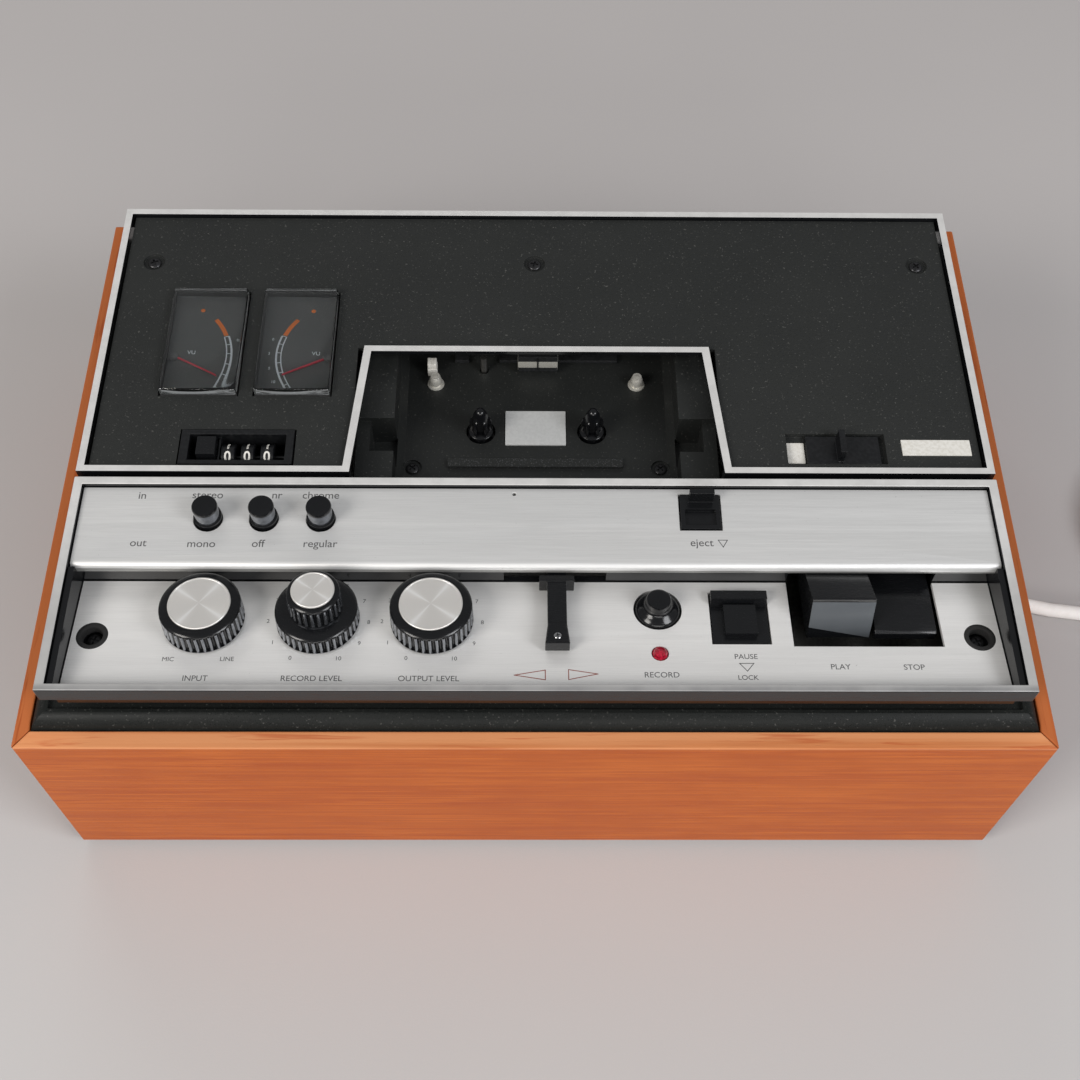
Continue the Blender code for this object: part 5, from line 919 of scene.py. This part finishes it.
def screw_mesh(name, radius, dome, depth, turn):
    """A domed head with its cross recess turned, on a shank."""
    head = lathe(name, ((0, dome), (radius * 0.45, dome * 0.95), (radius * 0.75, dome * 0.78),
                        (radius * 0.93, dome * 0.45), (radius, 0.1), (radius, -0.15),
                        (radius * 0.5, -0.2), (radius * 0.5, -depth), (0, -depth)), 40)
    half = radius * 0.14
    far = radius * 0.58
    loop = [(far, half), (half, half), (half, far)]
    for _ in range(3):
        loop += [(-y, x) for x, y in loop[-3:]]
    cross = slab(loop, dome - 0.75, dome + 1)
    cross.transform(Matrix.Rotation(turn, 4, "Z"))
    return carved(head, cross, name)


for index, x in enumerate((-150.2, -0.8, 150.2)):
    name = f"cover_screw_{index + 1}"
    piece(name + "_head", screw_mesh(name, 2.6, 0.85, 5.5, 0.4 + 0.9 * index), BLACK_STEEL,
          "case", (x, 194.4, 117.1), DECK, [name])
PANEL_SCREW = (151.1, 33.25)
for side, name in SIDES:
    piece(f"well_screw_{name}", screw_mesh("well_screw", 2.5, 0.8, 0.8, 0.7 * side),
          BLACK_STEEL, "case", (side * 47, 112.8, 94.35), DECK, ())
    piece(f"panel_screw_{name}", screw_mesh("panel_screw", 2.7, 0.9, 0.6, 0.3 * side),
          BLACK_STEEL, "case", (side * PANEL_SCREW[0], PANEL_SCREW[1], 106.3), DECK, ())
# A black ring round each panel screw hole: painted shade that widens the hole's dark rim, standing
# for its shaded countersink
for side, name in SIDES:
    ring = lathe("hole_shade_ring", ((3.6, -3.2), (3.6, -0.2), (3.9, 0.25), (4.4, 0.36), (5.0, 0.22),
                             (5.4, 0.02), (4.0, 0.02), (4.0, -3.2), (3.6, -3.2)), 48)
    piece(f"panel_grommet_{name}", ring, RUBBER, "case",
          (side * PANEL_SCREW[0], panel_y(PANEL_SCREW[1]), 0), PANEL, ())
piece("lever_screw", screw_mesh("lever_screw", 1.25, 0.4, 0.3, 0.2), CHROME, "wind_lever_body",
      (6.65, -26.6, 6.25), PANEL, ())

# Meters: dial plates, scale marks, needles
DIAL_TOP = 114.3
NEEDLE_Y = 149
SCALE = (23.9, 25.5)
SCALE_ENDS = (-42.4, 19.3)


def meter(side, name, xs, pivot, rest, centre):
    """A dial between two xs, with its scale on an arc round the centre, and a needle
    that turns at the pivot. The right meter mirrors the left one."""
    inner = (xs[0] + 1.3, xs[1] - 1.3)
    plate = block(inner, (130.8, 177.2), (113.02, DIAL_TOP), 0.2, 2)
    piece(f"vu_dial_{name}", finish_mesh("dial", plate), FACE)
    flat = (DIAL_TOP, DIAL_TOP + 0.06)

    def turned(degrees):
        return math.radians(degrees if side < 0 else 180 - degrees)

    def band(radius, start, end, half):
        return slab(arc(centre, radius, turned(start), turned(end), half), *flat)

    pale = [band(SCALE[0], *SCALE_ENDS, 0.2), band(SCALE[1], *SCALE_ENDS, 0.32)]
    for degrees in (SCALE_ENDS[0], -30, -18, -8, 2, 11, SCALE_ENDS[1]):
        mark = block(SCALE, (-0.12, 0.12), flat, 0)
        mark.transform(Matrix.Translation((*centre, 0))
                       @ Matrix.Rotation(turned(degrees), 4, "Z"))
        pale.append(mark)
    for degrees, text in ((-38, "20"), (-24, "10"), (-12, "5"), (1, "3"), (14, "0")):
        pale.append(lettering(text, 1.5, around(centre, 28, turned(degrees)), *flat))
    pale.append(lettering("VU", 2.2, (centre[0] - side * 12.0, 151.3), *flat))
    piece(f"vu_scale_{name}", finish_mesh("scale", joined(*pale)), PRINT_METER)
    dot = lathe("dot", ((0, DIAL_TOP + 0.08), (0.75, DIAL_TOP + 0.06), (0.8, DIAL_TOP),
                        (0, DIAL_TOP)), 24)
    dot.transform(Matrix.Translation((centre[0] - side * 14.0, 170.4, 0)))
    hot = joined(band(24.7, 20.3, 39.6, 0.75), dot)
    piece(f"vu_overload_{name}", finish_mesh("overload", hot), PRINT_ORANGE)
    hub = lathe("hub", ((0, 115.95), (1.1, 115.9), (1.5, 115.7), (1.7, 115.4), (1.7, 114.5),
                        (0, 114.5)), 40)
    needle = f"vu_needle_{name}"
    piece(f"vu_hub_{name}", hub, FACE, needle + "_body", (pivot, NEEDLE_Y, 0), DECK, [needle])
    pointer = slab([(0.5, -0.3), (6.0, -0.26), (17.0, -0.16), (17.2, 0), (17.0, 0.16),
                    (6.0, 0.26), (0.5, 0.3)], 114.8, 115.25, 0.06)
    pointer.transform(Matrix.Rotation(rest, 4, "Z"))
    piece(f"vu_pointer_{name}", finish_mesh("needle", pointer), NEEDLE, needle + "_body",
          (pivot, NEEDLE_Y, 0), DECK, [needle])


meter(-1, "left", (-139.6, -111.1), -136.2, math.radians(-27), (-142.4, 150.5))
meter(1, "right", (-104.7, -76.6), -80.0, math.pi + math.radians(27), (-72.5, 150.5))

# Counter wheels with raised rims and figures round them
for index, xs in enumerate(((-114.4, -109.4), (-107.2, -102.5), (-100.1, -95.3))):
    name = f"counter_wheel_{index + 1}"
    half = (xs[1] - xs[0]) / 2
    axle = ((xs[0] + xs[1]) / 2, 105.3, 112.2)
    drum = lathe("drum", ((1.2, half), (4.55, half), (4.9, half - 0.25), (4.9, half - 0.5),
                          (4.72, half - 0.6), (4.72, 0.6 - half), (4.9, 0.5 - half),
                          (4.9, 0.25 - half), (4.55, -half), (1.2, -half), (1.2, half)), 60)
    drum.transform(Matrix.Rotation(math.pi / 2, 4, "Y"))
    piece(name + "_drum", drum, SATIN, name + "_body", axle, DECK, [name])
    figures = []
    for digit in range(6):
        bm = lettering(str(digit), 5.4, (0, 0), 0, 0.16, bold=0.09)
        bmesh.ops.subdivide_edges(bm, edges=[e for e in bm.edges if e.calc_length() > 0.7],
                                  cuts=2, use_grid_fill=False)
        bm.transform(Matrix.Diagonal((0.92, 1, 1, 1)))
        for vert in bm.verts:
            turn = vert.co.y / 4.75
            far = 4.68 + vert.co.z
            vert.co = Vector((vert.co.x, far * math.sin(turn), far * math.cos(turn)))
        bm.transform(Matrix.Rotation(math.radians(31 - 60 * digit), 4, "X"))
        figures.append(bm)
    piece(name + "_figures", finish_mesh("figures", joined(*figures)), PRINT_WHITE,
          name + "_body", axle, DECK, ())

# Spindles with six drive fins, and the plated pins of the well
for side, name in SIDES:
    core = lathe("core", ((0, 109.2), (0.7, 109.15), (1.3, 108.9), (1.9, 108.1), (2.4, 106.9),
                          (2.8, 105.6), (2.9, 104.8), (2.9, 96.9), (4.3, 96.7), (4.7, 96.4),
                          (4.8, 96.0), (4.8, 95.6), (2.4, 95.3), (2.4, 92.0), (14, 92.0),
                          (14, 89.6), (2.2, 89.6), (2.2, 86.0), (0, 86.0)))
    fins = []
    for step in range(6):
        fin = slab([(2.2, 96.3), (4.2, 96.3), (4.2, 102.2), (3.7, 103.6), (3.0, 104.4),
                    (2.2, 104.8)], -0.45, 0.45, 0.15)
        fin.transform(Matrix.Rotation(step * math.pi / 3, 4, "Z")
                      @ Matrix.Rotation(math.pi / 2, 4, "X"))
        fins.append(fin)
    piece(f"spindle_{name}_hub", finish_mesh("hub", joined(core, *fins)), GLOSS,
          f"spindle_{name}_body", (side * SPINDLE_AT[0], SPINDLE_AT[1], 0), DECK,
          [f"spindle_{name}"])
    piece(f"locating_pin_{name}", lathe("pin", (
        (0, 100.45), (0.9, 100.35), (1.6, 99.9), (2.05, 99.2), (2.35, 98.2), (2.4, 95.6),
        (3.2, 95.4), (3.3, 95.02), (0, 95.02))), NICKEL, "case", (side * PIN_AT[0], PIN_AT[1], 0),
        DECK, ())
guide = joined(block(*GUIDE, (WELL_FLOOR, 99.2), 0.35),
               block((-42.45, -41.3), (156.4, 160.1), (98.9, 102.0), 0.3),
               block((-40.1, -38.95), (156.4, 160.1), (98.9, 102.0), 0.3))
piece("tape_guide", finish_mesh("tape_guide", guide), WHITE)

# Head: a plated shield with a dark gap line, on the sliding bridge
shield = extruded([(157.6, 97.0), (169.0, 97.0), (169.0, 105.2), (168.2, 105.8), (158.9, 105.8),
                   (157.7, 105.0), (157.2, 101.5)], (-7.2, 8.4), 0.35)
piece("head_shield", finish_mesh("head_shield", shield), NICKEL, "head_bridge_body")
piece("head_line", finish_mesh("head_line", joined(
    block((-7.0, 8.2), (160.3, 160.9), (105.7, 105.9), 0),
    block((0.3, 0.9), (157.05, 158.0), (98.0, 105.0), 0))), SATIN, "head_bridge_body")

# Printed marks and figures

def printed(name, shapes, material, base):
    """Ink on the case, as thin shapes on the plane of the base."""
    piece(name, finish_mesh(name, joined(*shapes)), material, base=base)


def outline_mark(corners, half):
    """A closed thin line through the corners of a figure."""
    shapes = []
    for a, b in zip(corners, corners[1:] + corners[:1]):
        along = (Vector(b) - Vector(a)).normalized() * half
        across = Vector((-along.y, along.x))
        start, end = Vector(a) - along, Vector(b) + along
        shapes.append(slab([start - across, end - across, end + across, start + across],
                           0.0, 0.03))
    return shapes


STRIP_FACE = DECK @ Matrix.Translation((0, 0, STRIP_TOP))
words = [lettering(text, size, at) for text, size, at in (
    ("INPUT", 3.0, (-114, -39.8)), ("RECORD LEVEL", 3.0, (-75.4, -39.8)),
    ("OUTPUT LEVEL", 3.0, (-36.4, -39.8)), ("RECORD", 3.0, (41.5, -38.2)),
    ("PAUSE", 2.8, (70.3, -30.9)), ("LOCK", 2.6, (70.3, -39.2)),
    ("PLAY", 3.0, (101.8, -34.9)), ("STOP", 3.0, (126.6, -35.0)),
    ("MIC", 2.4, (-124.0, -32.3)), ("LINE", 2.4, (-104.3, -32.2)))]
for centre in (-75.0, -36.1):
    for figure in range(11):
        turn = math.radians(241.4 - 30.4 * figure)
        spot = around((centre, panel_y(KNOB_AT)), 17.2, turn)
        words.append(lettering(str(figure), 2.2, spot))
words += outline_mark([(67.9, -33.5), (72.7, -33.5), (70.3, -36.6)], 0.13)
printed("panel_print", words, PRINT_BLACK, PANEL)
printed("lever_arrows", outline_mark([(-7.9, -38.3), (2.5, -36.3), (2.5, -40.1)], 0.14)
        + outline_mark([(20.1, -37.8), (10.3, -36.1), (10.3, -40.0)], 0.14), PRINT_RED, PANEL)
words = [lettering(text, 4.2, at) for text, at in (
    ("mono", (-116.5, 65.1)), ("off", (-96.9, 65.2)), ("regular", (-75.4, 65.2)),
    ("eject", (57.2, 66.0)), ("in", (-139.5, 84.9)), ("out", (-138.3, 65.4)),
    ("stereo", (-116.5, 85.2)), ("nr", (-92.1, 85.2)), ("chrome", (-76.6, 85.2)))]
words += outline_mark([(63.0, 67.2), (66.2, 67.2), (64.6, 64.4)], 0.13)
printed("strip_print", words, PRINT_BLACK, STRIP_FACE)

# Phono sockets on the back: coloured insulators round black discs of painted shade in the sockets'
# holes
for index, x in enumerate((20, 38, 60, 78)):
    at = Matrix.Translation((x, 0, 40)) @ FACING_BACK
    ring = lathe("insulator", ((1.6, 236.3), (2.9, 236.35), (3.3, 236.25), (3.3, 235.9),
                               (1.6, 235.9), (1.6, 236.3)), 40)
    ring.transform(at)
    piece(f"phono_ring_{index + 1}", ring, PRINT_RED if index % 2 else WHITE)
    # A flat black disc in each socket's mouth, painted shade for its hole
    hole_shade = lathe("hole_shade", ((0, 236.24), (1.55, 236.24), (1.55, 236.0), (0, 236.0)), 32)
    hole_shade.transform(at)
    piece(f"phono_contact_{index + 1}", hole_shade, SATIN)
